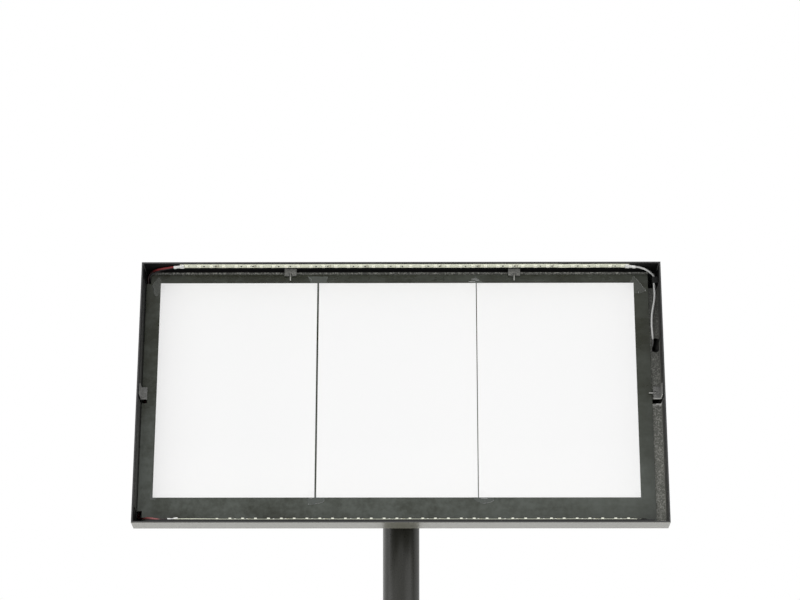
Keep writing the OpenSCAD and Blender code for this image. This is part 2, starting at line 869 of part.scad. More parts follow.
// Seat and place along the lug of each screw
function lug_screw_places() = [for (i = [0:3], s = [-1, 1]) [i, s * lug_screw_offset]];

// Thickness of metal outside a lug's seat: the wall, and the flange at the sides
function seat_wall(i) = i < 2 ? case_sheet : case_sheet + tray_sheet;

module lug_screw_hole(p) {
    at_lug(p[0])
        translate([p[1], pin_y, -seat_wall(p[0]) - 1]) {
            cylinder(d = lug_screw_d + 2 * fit_gap, h = lug_screw_len + 2, $fn = 24);
            cylinder(d = 2 * lug_screw_d + 2 * fit_gap, h = lug_screw_head_t + 1, $fn = 24);
        }
}

module lug_screws() {
    color(steel_black)
        in_case()
            for (p = lug_screw_places())
                at_lug(p[0])
                    translate([p[1], pin_y, -seat_wall(p[0])]) {
                        cylinder(d = lug_screw_d, h = lug_screw_len, $fn = 24);
                        cylinder(d = 2 * lug_screw_d, h = lug_screw_head_t, $fn = 24);
                    }
}

module lock_pin(i) {
    start = lug_reach + pin_out - pin_len;
    color(bright_zinc)
        in_case()
            at_lug(i)
                translate([0, pin_y, start]) {
                    cylinder(d = pin_d, h = pin_len - pin_d / 4, $fn = 24);
                    translate([0, 0, pin_len - pin_d / 4])
                        cylinder(d = pin_d / 2, h = pin_d / 4, $fn = 24);
                }
}

module pin_top_left() {
    lock_pin(0);
}

module pin_top_right() {
    lock_pin(1);
}

module pin_right() {
    lock_pin(3);
}

// Folded ledge along the bottom wall, open downwards
module board_ledge() {
    end_x = inner_x - ledge_end_gap;
    color(textured_black)
        in_case()
            difference() {
                slab([-end_x, flange_inset, -inner_z], [end_x, tray_front, ledge_top]);
                slab([-end_x - 1, flange_inset + ledge_sheet, -inner_z - 1],
                    [end_x + 1, tray_front - ledge_sheet, ledge_top - ledge_sheet]);
            }
}

// Light strips: s is 1 for the upper one, whose chips face down, and -1 for the lower one
module on_strip(s) {
    base = s > 0 ? inner_z : ledge_top;
    translate([s > 0 ? 0 : lower_strip_shift, 0, base])
        mirror([0, 0, s > 0 ? 1 : 0])
            children();
}

module strip_tape(s) {
    on_strip(s)
        slab([strip_left, strip_inset, 0], [strip_right, strip_inset + strip_w, strip_t]);
}

module chip_row(s) {
    y = strip_inset + (strip_w - chip_w) / 2;
    on_strip(s)
        for (k = [0:chips_per_segment * strip_segments - 1])
            translate([strip_left + (k + 0.5) * chip_pitch - chip_w / 2, y, strip_t])
                cube([chip_w, chip_w, chip_t]);
}

module strip_upper() {
    color(tape_white)
        in_case()
            strip_tape(1);
}

module strip_lower() {
    color(tape_white)
        in_case()
            strip_tape(-1);
}

module chips_upper() {
    color([0.95, 0.93, 0.7])
        in_case()
            chip_row(1);
}

module chips_lower() {
    color([0.95, 0.93, 0.7])
        in_case()
            chip_row(-1);
}

// Shrunk sleeve over each end of each strip, closed round the wires
module strip_sleeves() {
    height = strip_t + 2.4;
    color([0.93, 0.93, 0.92])
        in_case()
            for (s = [-1, 1], left = [strip_left - sleeve_reach, strip_right - sleeve_cover])
                difference() {
                    on_strip(s)
                        slab([left, strip_inset - sleeve_wall, 0],
                            [left + sleeve_len, strip_inset + strip_w + sleeve_wall, height]);
                    strip_tape(s);
                }
}

module link_wire_red() {
    color([0.7, 0.05, 0.04])
        in_case()
            tube(red_route, wire_d);
}

module link_wire_black() {
    color([0.05, 0.05, 0.05])
        in_case()
            tube(black_route, wire_d);
}

module supply_lead() {
    color([0.93, 0.93, 0.93])
        in_case()
            tube(lead_route, lead_d);
}

// Saddle clip on the right wall, over the white lead
module lead_clip() {
    color([0.05, 0.05, 0.05])
        in_case()
            difference() {
                slab([clip_left, clip_front, clip_low], [inner_x, tray_back, clip_high]);
                translate([clip_bore_x, clip_bore_y, clip_low - 1])
                    cylinder(d = lead_d + 2 * fit_gap, h = clip_high - clip_low + 2, $fn = 32);
            }
}

// Rear cover: a pan with sloped sides
module cover_shape(offset_in, back) {
    x0 = inner_x - cover_gap - offset_in;
    z0 = inner_z - cover_gap - offset_in;
    reach = back - tray_back;
    slope = cover_slope * reach;
    intersection() {
        translate([0, 0, -case_h])
            linear_extrude(2 * case_h)
                polygon([[-x0, tray_back], [x0, tray_back], [x0 - slope, back], [slope - x0, back]]);
        translate([-case_w, 0, 0])
            rotate([90, 0, 90])
                linear_extrude(2 * case_w)
                    polygon([[tray_back, -z0], [back, slope - z0], [back, z0 - slope], [tray_back, z0]]);
    }
}

module rear_cover() {
    color(steel_black)
        in_case()
            difference() {
                union() {
                    cover_shape(0, cover_back);
                    slab([cover_lip_inset - case_w / 2, wall_d, cover_lip_inset - case_h / 2],
                        [case_w / 2 - cover_lip_inset, wall_d + cover_sheet, case_h / 2 - cover_lip_inset]);
                }
                cover_shape(cover_sheet, cover_inner);
                for (p = stud_places)
                    rod_y(stud_d + 2 * stud_clearance, tray_back, cover_back + 1, p[0], p[1]);
                for (p = plate_bolt_places)
                    rod_y(plate_bolt_d + 2 * bolt_clearance, tray_back, cover_back + 1, p[0], p[1]);
                for (x = driver_screw_xs())
                    rod_y(driver_screw_d + 2 * fit_gap, tray_back, cover_back + 1, x, driver_z);
                rod_y(cord_hole_d, tray_back, cover_back + 1, 0, cord_hole_z);
            }
}

module cover_studs() {
    color(bright_zinc)
        in_case()
            for (p = stud_places) {
                rod_y(stud_d, tray_back, cover_back + washer_t + nut_t - stud_proud, p[0], p[1]);
                rod_y(2 * stud_d, tray_back, tray_back + 1, p[0], p[1]);
            }
}

module cover_washers() {
    color(bright_zinc)
        in_case()
            for (p = stud_places)
                difference() {
                    rod_y(washer_d, cover_back, cover_back + washer_t, p[0], p[1]);
                    rod_y(stud_d + 2 * fit_gap, cover_back - 1, cover_back + washer_t + 1, p[0], p[1]);
                }
}

module cover_nuts() {
    start = cover_back + washer_t;
    color(bright_zinc)
        in_case()
            for (p = stud_places)
                difference() {
                    union() {
                        hex_y(nut_af, start, start + nut_t, p[0], p[1]);
                        translate([p[0], start + nut_t, p[1]])
                            rotate([-90, 0, 0])
                                dome(0.45 * nut_af);
                    }
                    rod_y(stud_d + 2 * fit_gap, start - 1, start + nut_t, p[0], p[1]);
                }
}

// Half ball on the plane z = 0
module dome(r) {
    rotate_extrude($fn = 32)
        intersection() {
            circle(r, $fn = 32);
            square([r, r]);
        }
}

module cover_grommet() {
    color([0.08, 0.08, 0.08])
        in_case()
            difference() {
                union() {
                    rod_y(cord_hole_d - 0.1, cover_inner - 2, cover_back + 1, 0, cord_hole_z);
                    rod_y(cord_hole_d + 5, cover_back, cover_back + 2, 0, cord_hole_z);
                    rod_y(cord_hole_d + 5, cover_inner - 2, cover_inner, 0, cord_hole_z);
                }
                rod_y(cord_hole_d - 7, tray_back, cover_back + 3, 0, cord_hole_z);
            }
}

// Driver, fixed by its end feet to the rear cover
function driver_screw_xs() = [
    driver_x + driver_foot_len / 2,
    driver_x + driver_len - driver_foot_len / 2];

module light_driver() {
    left = driver_x;
    right = driver_x + driver_len;
    color([0.88, 0.88, 0.86])
        in_case()
            difference() {
                union() {
                    slab([left + driver_foot_len, cover_inner - driver_t, driver_z - driver_h / 2],
                        [right - driver_foot_len, cover_inner, driver_z + driver_h / 2]);
                    slab([left, cover_inner - driver_foot_t, driver_z - driver_h / 4],
                        [right, cover_inner, driver_z + driver_h / 4]);
                }
                for (x = driver_screw_xs())
                    rod_y(driver_screw_d + 2 * fit_gap, cover_inner - driver_t, cover_back, x, driver_z);
            }
}

module driver_screws() {
    seat = cover_inner - driver_foot_t;
    color(bright_zinc)
        in_case()
            for (x = driver_screw_xs()) {
                rod_y(driver_screw_d, seat, cover_back + 1, x, driver_z);
                rod_y(2 * driver_screw_d, seat - 2.4, seat, x, driver_z);
            }
}

module terminal_block() {
    front = cover_inner - block_t;
    ways = 3;
    pitch = block_h / ways;
    color([0.9, 0.9, 0.88])
        in_case()
            difference() {
                slab([block_right - block_len, front, driver_z - block_h / 2],
                    [block_right, cover_inner, driver_z + block_h / 2]);
                for (x = [0.25, 0.75], k = [0:ways - 1])
                    rod_y(4, front - 1, front + 5, block_right - x * block_len,
                        driver_z + (k - 1) * pitch);
            }
}

module driver_input_lead() {
    lead_y = cover_inner - driver_t / 2;
    color([0.9, 0.9, 0.9])
        in_case()
            rod_x(input_lead_d, block_right, driver_x + driver_foot_len, lead_y, driver_z);
}

// Tilting head, the parts on the case

module tilt_bracket() {
    color(steel_black)
        in_case()
            difference() {
                union() {
                    slab([-bracket_w / 2, cover_back, pivot_z - bracket_h / 2],
                        [bracket_w / 2, bracket_back, pivot_z + bracket_h / 2]);
                    for (s = [-1, 1]) {
                        slab([s > 0 ? ear_inner : -ear_outer, cover_back, pivot_z - ear_r],
                            [s > 0 ? ear_outer : -ear_inner, pivot_y, pivot_z + ear_r]);
                        rod_x(2 * ear_r, s > 0 ? ear_inner : -ear_outer,
                            s > 0 ? ear_outer : -ear_inner, pivot_y, pivot_z);
                    }
                }
                rod_x(pivot_d + 2 * pivot_clearance, -bracket_w, bracket_w, pivot_y, pivot_z);
                for (p = plate_bolt_places)
                    rod_y(plate_bolt_d + 2 * bolt_clearance, tray_back, pivot_y, p[0], p[1]);
            }
}

module backing_plate() {
    color(bright_zinc)
        in_case()
            difference() {
                slab([-bracket_w / 2, cover_inner - backing_t, pivot_z - bracket_h / 2 + 2],
                    [bracket_w / 2, cover_inner, pivot_z + bracket_h / 2 - 2]);
                for (p = plate_bolt_places)
                    rod_y(plate_bolt_d + 2 * bolt_clearance, tray_back, pivot_y, p[0], p[1]);
            }
}

module bracket_bolts() {
    nut_end = cover_inner - backing_t - plate_nut_t;
    color(bright_zinc)
        in_case()
            for (p = plate_bolt_places) {
                rod_y(plate_bolt_d, nut_end - 1, bracket_back, p[0], p[1]);
                hex_y(10, bracket_back, bracket_back + 4, p[0], p[1]);
            }
}

module bracket_nuts() {
    finish = cover_inner - backing_t;
    color(bright_zinc)
        in_case()
            for (p = plate_bolt_places)
                difference() {
                    hex_y(10, finish - plate_nut_t, finish, p[0], p[1]);
                    rod_y(plate_bolt_d + 2 * fit_gap, tray_back, finish + 1, p[0], p[1]);
                }
}

base_plate();
foot_pads();
post_flange();
flange_bolts();
collar_grub_screws();
post_tube();
gland_body();
gland_seal();
gland_nut();
post_cable_grommet();
post_head();
head_screws();
friction_washers();
pivot_bolt();
pivot_washers();
pivot_nut();
case_frame();
carrier_tray();
backing_board();
sheet_left();
sheet_middle();
sheet_right();
film_corners();
lug_top_left();
lug_top_right();
lug_left();
lug_right();
lug_screws();
pin_top_left();
pin_top_right();
pin_right();
board_ledge();
strip_upper();
chips_upper();
strip_lower();
chips_lower();
strip_sleeves();
link_wire_red();
link_wire_black();
supply_lead();
lead_clip();
rear_cover();
cover_studs();
cover_washers();
cover_nuts();
cover_grommet();
light_driver();
driver_screws();
terminal_block();
driver_input_lead();
tilt_bracket();
backing_plate();
bracket_bolts();
bracket_nuts();
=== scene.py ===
import bmesh
import bpy
import math
import random
from mathutils import Matrix, Vector, noise


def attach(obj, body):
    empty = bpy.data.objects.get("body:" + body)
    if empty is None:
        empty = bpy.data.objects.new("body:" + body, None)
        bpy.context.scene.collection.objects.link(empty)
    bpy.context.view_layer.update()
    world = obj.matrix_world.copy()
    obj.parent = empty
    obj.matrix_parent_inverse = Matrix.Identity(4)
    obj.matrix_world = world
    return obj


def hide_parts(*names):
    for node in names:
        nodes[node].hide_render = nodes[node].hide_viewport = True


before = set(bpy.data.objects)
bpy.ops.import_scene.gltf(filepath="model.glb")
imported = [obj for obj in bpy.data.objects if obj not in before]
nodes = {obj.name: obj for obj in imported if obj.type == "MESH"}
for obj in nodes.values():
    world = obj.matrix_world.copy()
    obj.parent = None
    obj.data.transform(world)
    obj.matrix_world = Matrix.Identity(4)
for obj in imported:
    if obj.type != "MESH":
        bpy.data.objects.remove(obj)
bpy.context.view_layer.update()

scene = bpy.context.scene
scene.view_settings.view_transform = "Standard"


# The view
# The photograph looks a little upwards at the case through a long lens, from almost straight in
# front. The case leans back by 15 degrees on its pivot, so its own axes carry the camera too.
lean = math.radians(-15)
pivot, case_from_pivot = (0, 0, 1.195), (0, -0.090, 0.105)
case_place = (Matrix.Translation(pivot) @ Matrix.Rotation(lean, 4, "X")
              @ Matrix.Translation(case_from_pivot))
from_mm = case_place @ Matrix.Scale(0.001, 4)
eye_from_case = (0.022, -2.9032, -0.9427)
focal_px, image_px = 2332, 800
pitch, turn, roll = (math.radians(a) for a in (20.188, -0.457, 0.09))
ahead = Vector((math.sin(turn) * math.cos(pitch), math.cos(turn) * math.cos(pitch), math.sin(pitch)))
level = ahead.cross(Vector((0, 0, 1))).normalized()
right = level * math.cos(roll) + level.cross(ahead) * math.sin(roll)
looking = Matrix((right, right.cross(ahead), -ahead)).transposed().to_4x4()
eye = bpy.data.objects.new("eye", bpy.data.cameras.new("eye"))
eye.matrix_world = case_place @ Matrix.Translation(eye_from_case) @ looking
eye.data.sensor_width = 36
eye.data.lens = focal_px * eye.data.sensor_width / image_px
eye.data.clip_end = 100
scene.collection.objects.link(eye)
scene.camera = eye


# The studio
# A pale floor that fades into a white surround, and a soft even light from all round. A wide lamp
# on the right and a narrower one on the left draw the bands on the post, and a third fills in.
class Value:
    """A socket of a shader node that can be reckoned with like a number."""

    def __init__(self, recipe, socket):
        self.recipe = recipe
        self.socket = socket

    def sum(self, operation, first, second=0.0):
        return self.recipe.node("ShaderNodeMath", {"operation": operation}, {0: first, 1: second})

    def __add__(self, other):
        return self.sum("ADD", self, other)

    def __sub__(self, other):
        return self.sum("SUBTRACT", self, other)

    def __rsub__(self, other):
        return self.sum("SUBTRACT", other, self)

    def __mul__(self, other):
        return self.sum("MULTIPLY", self, other)

    def __pow__(self, other):
        return self.sum("POWER", self, other)

    def __lt__(self, other):
        return self.sum("LESS_THAN", self, other)

    def __gt__(self, other):
        return self.sum("GREATER_THAN", self, other)

    def __abs__(self):
        return self.sum("ABSOLUTE", self)

    __radd__ = __add__
    __rmul__ = __mul__


class Recipe:
    """The nodes of a finish or of the sky, and the one way to add to them."""

    def __init__(self, owner):
        owner.use_nodes = True
        self.tree = owner.node_tree

    def feed(self, node, socket, value):
        if isinstance(value, Value):
            self.tree.links.new(value.socket, node.inputs[socket])
        else:
            if isinstance(value, tuple) and len(value) == 3 and node.inputs[socket].type == "RGBA":
                value = (*value, 1.0)
            node.inputs[socket].default_value = value

    def node(self, kind, settings=None, inputs=None, output=0):
        made = self.tree.nodes.new(kind)
        for name, value in (settings or {}).items():
            setattr(made, name, value)
        for name, value in (inputs or {}).items():
            self.feed(made, name, value)
        return Value(self, made.outputs[output])

    def spread(self, value, low, high, to_low=0.0, to_high=1.0):
        return self.node("ShaderNodeMapRange", inputs={
            0: value, 1: low, 2: high, 3: to_low, 4: to_high})


class Finish(Recipe):
    """One material: its nodes and the shader that they feed."""

    def __init__(self, name, **constants):
        self.material = bpy.data.materials.new(name)
        super().__init__(self.material)
        self.shader = self.tree.nodes["Principled BSDF"]
        self.set(**constants)

    def set(self, **sockets):
        for name, value in sockets.items():
            name = name.replace("_", " ").title().replace("Ior", "IOR")
            self.feed(self.shader, name, value)

    def object_place(self):
        return self.node("ShaderNodeTexCoord", output="Object")

    def case_axes(self, wanted="XZ"):
        """Coordinates along the case's own axes, in millimetres."""
        back = from_mm.inverted()
        point = self.node("ShaderNodeMapping", inputs={
            "Vector": self.object_place(), "Location": tuple(back.translation),
            "Rotation": (-lean, 0, 0), "Scale": (1000, 1000, 1000)})
        return [self.node("ShaderNodeSeparateXYZ", inputs={0: point}, output=axis) for axis in wanted]

    def noise(self, scale, detail, rough=0.5, stretch=None):
        place = self.object_place()
        if stretch:
            place = self.node("ShaderNodeMapping", inputs={"Vector": place, "Scale": stretch})
        return self.node("ShaderNodeTexNoise", inputs={
            "Vector": place, "Scale": scale, "Detail": detail, "Roughness": rough})

    def mix(self, share, first, second):
        return self.node("ShaderNodeMix", {"data_type": "RGBA"}, {0: share, 6: first, 7: second}, 2)

    def bump(self, height, distance, strength):
        self.set(normal=self.node("ShaderNodeBump", inputs={
            "Height": height, "Distance": distance, "Strength": strength}))


def mesh_object(name, points, faces, finishes, which=None):
    """A smooth mesh object from points in metres. which gives each face's finish by its number."""
    mesh = bpy.data.meshes.new(name)
    mesh.from_pydata(points, [], faces)
    for finish in finishes:
        mesh.materials.append(finish.material)
    for polygon in mesh.polygons:
        polygon.use_smooth = True
        if which:
            polygon.material_index = which[polygon.index]
    mesh.validate()
    made = bpy.data.objects.new(name, mesh)
    scene.collection.objects.link(made)
    return made


floor_finish = Finish("studio_floor", roughness=0.6, specular_ior_level=0.2)
floor_x, floor_y = (floor_finish.node("ShaderNodeSeparateXYZ", inputs={0: floor_finish.object_place()},
                                      output=axis) for axis in "XY")
far = floor_finish.spread((floor_x * floor_x + floor_y * floor_y) ** 0.5, 1.2, 2.7)
floor_finish.set(base_color=floor_finish.mix(
    floor_finish.noise(3, 3), (0.86, 0.86, 0.855), (0.90, 0.90, 0.895)))
mirrored = floor_finish.node("ShaderNodeLightPath", output="Is Glossy Ray")
white = floor_finish.node("ShaderNodeEmission", inputs={"Color": (1, 1, 1), "Strength": 1.0})
blend = floor_finish.node("ShaderNodeMixShader", inputs={
    0: far + mirrored - far * mirrored, 1: Value(floor_finish, floor_finish.shader.outputs[0]), 2: white})
floor_finish.feed(floor_finish.tree.nodes["Material Output"], "Surface", blend)
round_steps = 96
floor_radii = (0.35, 1.2, 2.4, 3.8)
floor_angles = [2 * math.pi * k / round_steps for k in range(round_steps)]
floor_points = [(0, 0, 0)] + [(r * math.cos(a), r * math.sin(a), 0)
                              for r in floor_radii for a in floor_angles]
floor_faces = [(0, 1 + k, 1 + (k + 1) % round_steps) for k in range(round_steps)]
for ring in range(len(floor_radii) - 1):
    for k in range(round_steps):
        here, beside = (1 + ring * round_steps + n for n in (k, (k + 1) % round_steps))
        floor_faces.append((here, here + round_steps, beside + round_steps, beside))
mesh_object("studio_floor", floor_points, floor_faces, [floor_finish])

scene.world = bpy.data.worlds.new("soft_white")
sky = Recipe(scene.world)
background = sky.tree.nodes["Background"]
seen, shining, through = (sky.node("ShaderNodeLightPath", output="Is %s Ray" % kind)
                          for kind in ("Camera", "Glossy", "Transmission"))
room_light, white_light = 0.82, 1.0
sky.feed(background, "Strength", sky.spread(seen + shining + through, 0, 1, room_light, white_light))
sky.feed(background, "Color", (1, 1, 1))
lamp_height, lamp_aim, lamp_spread = 1.3, Vector((0, 0, 1.2)), math.radians(160)


def soft_lamp(name, bearing, distance, width, height, radiance, gloss=1.0):
    """A flat soft lamp that faces the case, at a bearing in degrees to the right of the camera."""
    lamp = bpy.data.lights.new(name, "AREA")
    lamp.shape = "RECTANGLE"
    lamp.size, lamp.size_y = width, height
    lamp.energy = radiance * math.pi * width * height
    lamp.spread = lamp_spread
    lamp.specular_factor = gloss
    made = bpy.data.objects.new(name, lamp)
    bearing = math.radians(bearing)
    made.location = (distance * math.sin(bearing), -distance * math.cos(bearing), lamp_height)
    made.rotation_euler = (lamp_aim - made.location).to_track_quat("-Z", "Y").to_euler()
    made.visible_camera = False
    scene.collection.objects.link(made)


soft_lamp("wide_lamp", 37, 3.2, 2.3, 2.8, 0.73)
soft_lamp("side_lamp", -82, 2.8, 1.5, 2.6, 0.8)
soft_lamp("fill_lamp", -48, 3.0, 1.6, 2.2, 0.36, gloss=0.0)


# Case frame and rear cover
# Folded and welded steel sheet, powder coated black. The outside is a satin coat that takes the
# light of the room at its edges, with a painted reflection of the floor on its underside and painted
# shade on its front faces. Inside the coat is thin and matt, and the corners are welded; a highlight
# is painted along each inner corner, and painted shade darkens the inner walls upwards, near the
# back of the side walls and near the corners.
def dress(finish, *names, edge=0.3, soft=False):
    """Gives CAD nodes their finish and, in millimetres, the small round of their edges."""
    for name in names:
        piece = nodes[name]
        for place in piece.material_slots:
            place.material = finish.material
        weld = piece.modifiers.new("weld", "WELD")
        weld.merge_threshold = 0.000005
        flat = piece.modifiers.new("flat", "DECIMATE")
        flat.decimate_type = "DISSOLVE"
        flat.angle_limit = math.radians(0.5)
        if edge:
            rounding = piece.modifiers.new("edges", "BEVEL")
            rounding.width = edge / 1000
            rounding.segments = 3 if soft else 2
            rounding.limit_method = "ANGLE"
            rounding.angle_limit = math.radians(38)
            rounding.use_clamp_overlap = True
            rounding.harden_normals = True


inner_x, inner_z, wall_front, wall_back, bend_front = 344.0, 177.0, 0.2, 29.9, 24.4
underside, corner_low, corner_high = -178.8, 158, 163
powder = Finish("powder_black", ior=1.3, coat_ior=1.7, coat_roughness=0.22)
case_x, case_y, case_z = powder.case_axes("XYZ")
grain = powder.noise(900, 2)
cloud = powder.noise(14, 4, 0.6)
inside = ((abs(case_x) < inner_x + 0.25) * (abs(case_z) < inner_z + 0.25)
          * (case_y > wall_front - 0.05) * (case_y < wall_back))
# Painted highlight along each inner corner of the walls.
corner_highlight = (powder.spread(abs(case_x), inner_x - 0.8, inner_x - 0.1)
        * powder.spread(abs(case_z), inner_z - 0.9, inner_z - 0.1) * inside)
# Painted shade on the side walls near their back, where they meet the tray.
shade_at_bend = powder.spread(case_y, bend_front, bend_front + 1.8) * (abs(case_x) > inner_x - 3)
outer = powder.mix(cloud, (0.022, 0.022, 0.021), (0.034, 0.034, 0.032))
# Painted shade: the front faces of the rim are darker.
outer = powder.mix(case_y < wall_front + 0.05, outer, (0.006, 0.006, 0.006))
# Painted reflection: the underside is pale with the light of the floor below it.
outer = powder.mix((case_z < underside) * (0.7 + cloud * 0.6), outer, (0.165, 0.162, 0.128))
# Painted shade on the inner walls near the corners.
left_corner = (powder.spread(case_x, 24 - inner_x, 8 - inner_x)
               * powder.spread(abs(case_z), corner_low, corner_high))
right_corner = (powder.spread(case_x, inner_x - 22, inner_x - 8)
                * powder.spread(case_z, corner_low, corner_high))
# Painted light: the inner walls are lighter towards the bottom, and painted shade darkens them upwards.
lit = ((powder.spread(case_z, 150, -172) ** 1.5 * 0.94 + (case_x > inner_x - 4) * 0.06)
       * (1 - shade_at_bend * 0.8) * (1 - left_corner) * (1 - right_corner))
wall = powder.mix(lit, (0.0025, 0.0025, 0.0024), (0.034, 0.034, 0.031))
inner = powder.mix(corner_highlight, wall, (0.16, 0.16, 0.155))
powder.set(base_color=powder.mix(inside, outer, inner),
           roughness=powder.spread(grain, 0.3, 0.7, 0.38, 0.48) + inside * 0.3,
           coat_weight=0.8 - inside * 0.8)
powder.bump(grain + powder.noise(240, 2) * 1.5, 0.00006, 0.5)
dress(powder, "case_frame", edge=0.2)
dress(powder, "rear_cover", edge=0.3, soft=True)


# Carrier tray, ledge and lugs
# A folded steel tray in coarse textured powder coat, paler and more flecked low down, with painted
# shade along its bends beside the walls and beside the lead hole, and a painted highlight along its
# top edge. The board rests in it on a folded ledge. The lugs are bent plates in the same coat,
# screwed to the walls, with a painted highlight along their lower edges.
def moulded(name, first, second, roughness, grain_scale, depth):
    """A finish with one fine even grain, as on a thin coat or a moulded part."""
    finish = Finish(name, roughness=roughness)
    fine = finish.noise(grain_scale, 3, 0.6)
    finish.set(base_color=finish.mix(finish.noise(60, 3), first, second),
               roughness=finish.spread(fine, 0.3, 0.7, roughness - 0.06, roughness + 0.06))
    finish.bump(fine, depth, 0.5)
    return finish


tray_top, tray_bend, lug_edge = 173.0, 341.2, 330.0
lug_underside = -5.45
slot_low, slot_high = -15.5, -10.6
hole_low, hole_high, hole_left, hole_right, hole_slant = 61.5, 79.5, 333.0, 323.4, 0.26
textured = Finish("powder_textured", ior=1.45)
tray_x, tray_y, tray_z = textured.case_axes("XYZ")
wrinkle = textured.node("ShaderNodeTexVoronoi", {"feature": "SMOOTH_F1"}, {
    "Vector": textured.object_place(), "Scale": 560.0, "Smoothness": 0.6, "Randomness": 1.0})
fleck = textured.spread(textured.noise(560, 2, 0.55), 0.48, 0.66)
cloudy = textured.noise(24, 4, 0.6)
# The tray is paler and more flecked towards the bottom, in clouds.
tray_paler_low = textured.spread(tray_z, 150, -170) * (0.6 + cloudy * 0.8)
front_of_flange = (tray_x > 0) * (tray_y > 19.0)
# Painted shade: a near-black line along the tray's bends beside the side walls.
shade_beside_wall = textured.spread(abs(tray_x), tray_bend, tray_bend + 1.0) * (1 - front_of_flange)
# Painted highlight along the tray's top edge.
top_edge_highlight = textured.spread(tray_z, tray_top - 3.0, tray_top)
# Paler marks along the lower edge of the slot below the right lug.
pale_by_slot = ((tray_z < slot_high) * textured.spread(tray_z, slot_low, slot_low + 3.5)
           * (tray_x > lug_edge + 1) * textured.spread(textured.noise(260, 2), 0.44, 0.56))
# Painted shadow: a near-black wedge on the tray beside the lead hole.
shadow_beside_hole = ((tray_z > hole_low) * (tray_z < hole_high) * (tray_x > hole_left)
               * (tray_x - tray_z * hole_slant < hole_right))
ground = textured.mix(tray_paler_low, (0.036, 0.037, 0.033), (0.190, 0.194, 0.172))
marked = textured.mix(fleck * (0.12 + 0.88 * tray_paler_low) + top_edge_highlight * (0.15 + fleck * 0.62),
                      ground, (0.46, 0.46, 0.42))
marked = textured.mix(pale_by_slot, marked, (0.60, 0.60, 0.58))
textured.set(base_color=textured.mix(shade_beside_wall * 0.85 + shadow_beside_hole, marked, (0.004, 0.004, 0.004)),
             roughness=textured.spread(wrinkle, 0, 0.6, 0.5, 0.72))
textured.bump(wrinkle, 0.00030, 0.9)
dress(textured, "carrier_tray", edge=0.4)
ledge_coat = moulded("ledge_coat", (0.004, 0.004, 0.004), (0.007, 0.007, 0.007), 0.6, 700, 0.00006)
dress(ledge_coat, "board_ledge", edge=0.2)
lug_coat = Finish("powder_lug", ior=1.5, coat_weight=0.2, coat_roughness=0.3)
lug_fleck = lug_coat.spread(lug_coat.noise(800, 3, 0.6), 0.42, 0.68)
lug_x, lug_z = lug_coat.case_axes()
# Painted highlight along the lower edge of the side lugs, fainter on the left one.
low_edge_highlight = (lug_z < lug_underside) * (0.25 + 0.75 * (lug_x > lug_edge)) * (abs(lug_x) > lug_edge)
lug_tone = lug_coat.mix(lug_fleck, (0.09, 0.09, 0.086), (0.21, 0.21, 0.20))
lug_coat.set(base_color=lug_coat.mix(low_edge_highlight, lug_tone, (0.75, 0.75, 0.72)),
             roughness=lug_coat.spread(lug_fleck, 0, 1, 0.55, 0.4))
lug_coat.bump(lug_coat.noise(700, 2), 0.00012, 0.7)
dress(lug_coat, "lug_top_left", "lug_top_right", "lug_left", "lug_right", edge=0.45)


# Backing board
# A smooth black sheet of rigid plastic. Handling has left faint smears on it, most of them low
# down, where dust and old adhesive also dull its gloss.
board_low, board_high, board_left, board_right = -170, 150, -340, 330
board = Finish("board_black", ior=1.43)
board_x, board_z = board.case_axes()
low_down = board.spread(board_z, board_high, board_low)
smear = board.spread(board.noise(9, 5, 0.62, stretch=(1, 1, 2.2)), 0.38, 0.66)
streak = board.spread(board.noise(60, 3, 0.5, stretch=(0.25, 1, 1.6)), 0.45, 0.75)
smudge = board.spread(board.noise(42, 3, 0.55), 0.38, 0.62)
haze = smear * 0.6 + streak * 0.3 + smudge * 0.3
fine_spots = board.spread(board.noise(150, 4, 0.6), 0.36, 0.64)
wide_spots = board.spread(board.noise(30, 3, 0.6), 0.36, 0.64)
blotch = ((fine_spots * 0.38 + wide_spots * 0.42 - 0.40) * (0.35 + low_down * 0.45)
          * (1.1 - 0.7 * board.spread(board_x, 100, board_right)))
# The board is paler towards the bottom, and low down more so towards the right.
board_paler_low = low_down ** 2.0 * (0.58 + 0.24 * board.spread(board_x, board_left, board_right))
above_sheets = board.spread(board_z, 157, 162) * board.spread(board_x, -150, -100, 0.02, 0.17)
left_margin = board.spread(board_x, -316, -326) * low_down * 0.30
left_edge = board.spread(board_x, -338.0, -340.2) * low_down * 0.45
paler = board_paler_low + haze * 0.55 - 0.165 + above_sheets + left_margin + blotch + left_edge
board.set(base_color=board.mix(paler, (0.009, 0.011, 0.002), (0.076, 0.085, 0.074)),
          roughness=board.spread(haze, 0, 1, 0.16, 0.40) + low_down * 0.12)
board.bump(board.noise(35, 2), 0.0002, 0.06)
dress(board, "backing_board", edge=0.2)


# Sheets
# Three white A4 sheets of smooth card, side by side on the board with narrow gaps between them.
# Nothing is printed on them. Film over their corners holds them flat.
paper = Finish("paper", roughness=0.55, specular_ior_level=0.35)
fibre = paper.noise(2600, 3, 0.7)
sheet_x, sheet_z = paper.case_axes()
# Painted light makes the paper whiter towards the left and the bottom; it also wavers a little at random.
paper_waver_and_painted_light = (paper.noise(7, 3) * 0.2 + paper.spread(sheet_x, -200, -320) * 0.6
          + paper.spread(sheet_z, -60, -139) * 0.4)
paper.set(base_color=paper.mix(paper_waver_and_painted_light, (0.932, 0.932, 0.932), (0.985, 0.985, 0.983)),
          roughness=paper.spread(fibre, 0.3, 0.7, 0.5, 0.62))
paper.bump(fibre, 0.00002, 0.5)
dress(paper, "sheet_left", "sheet_middle", "sheet_right", edge=0)


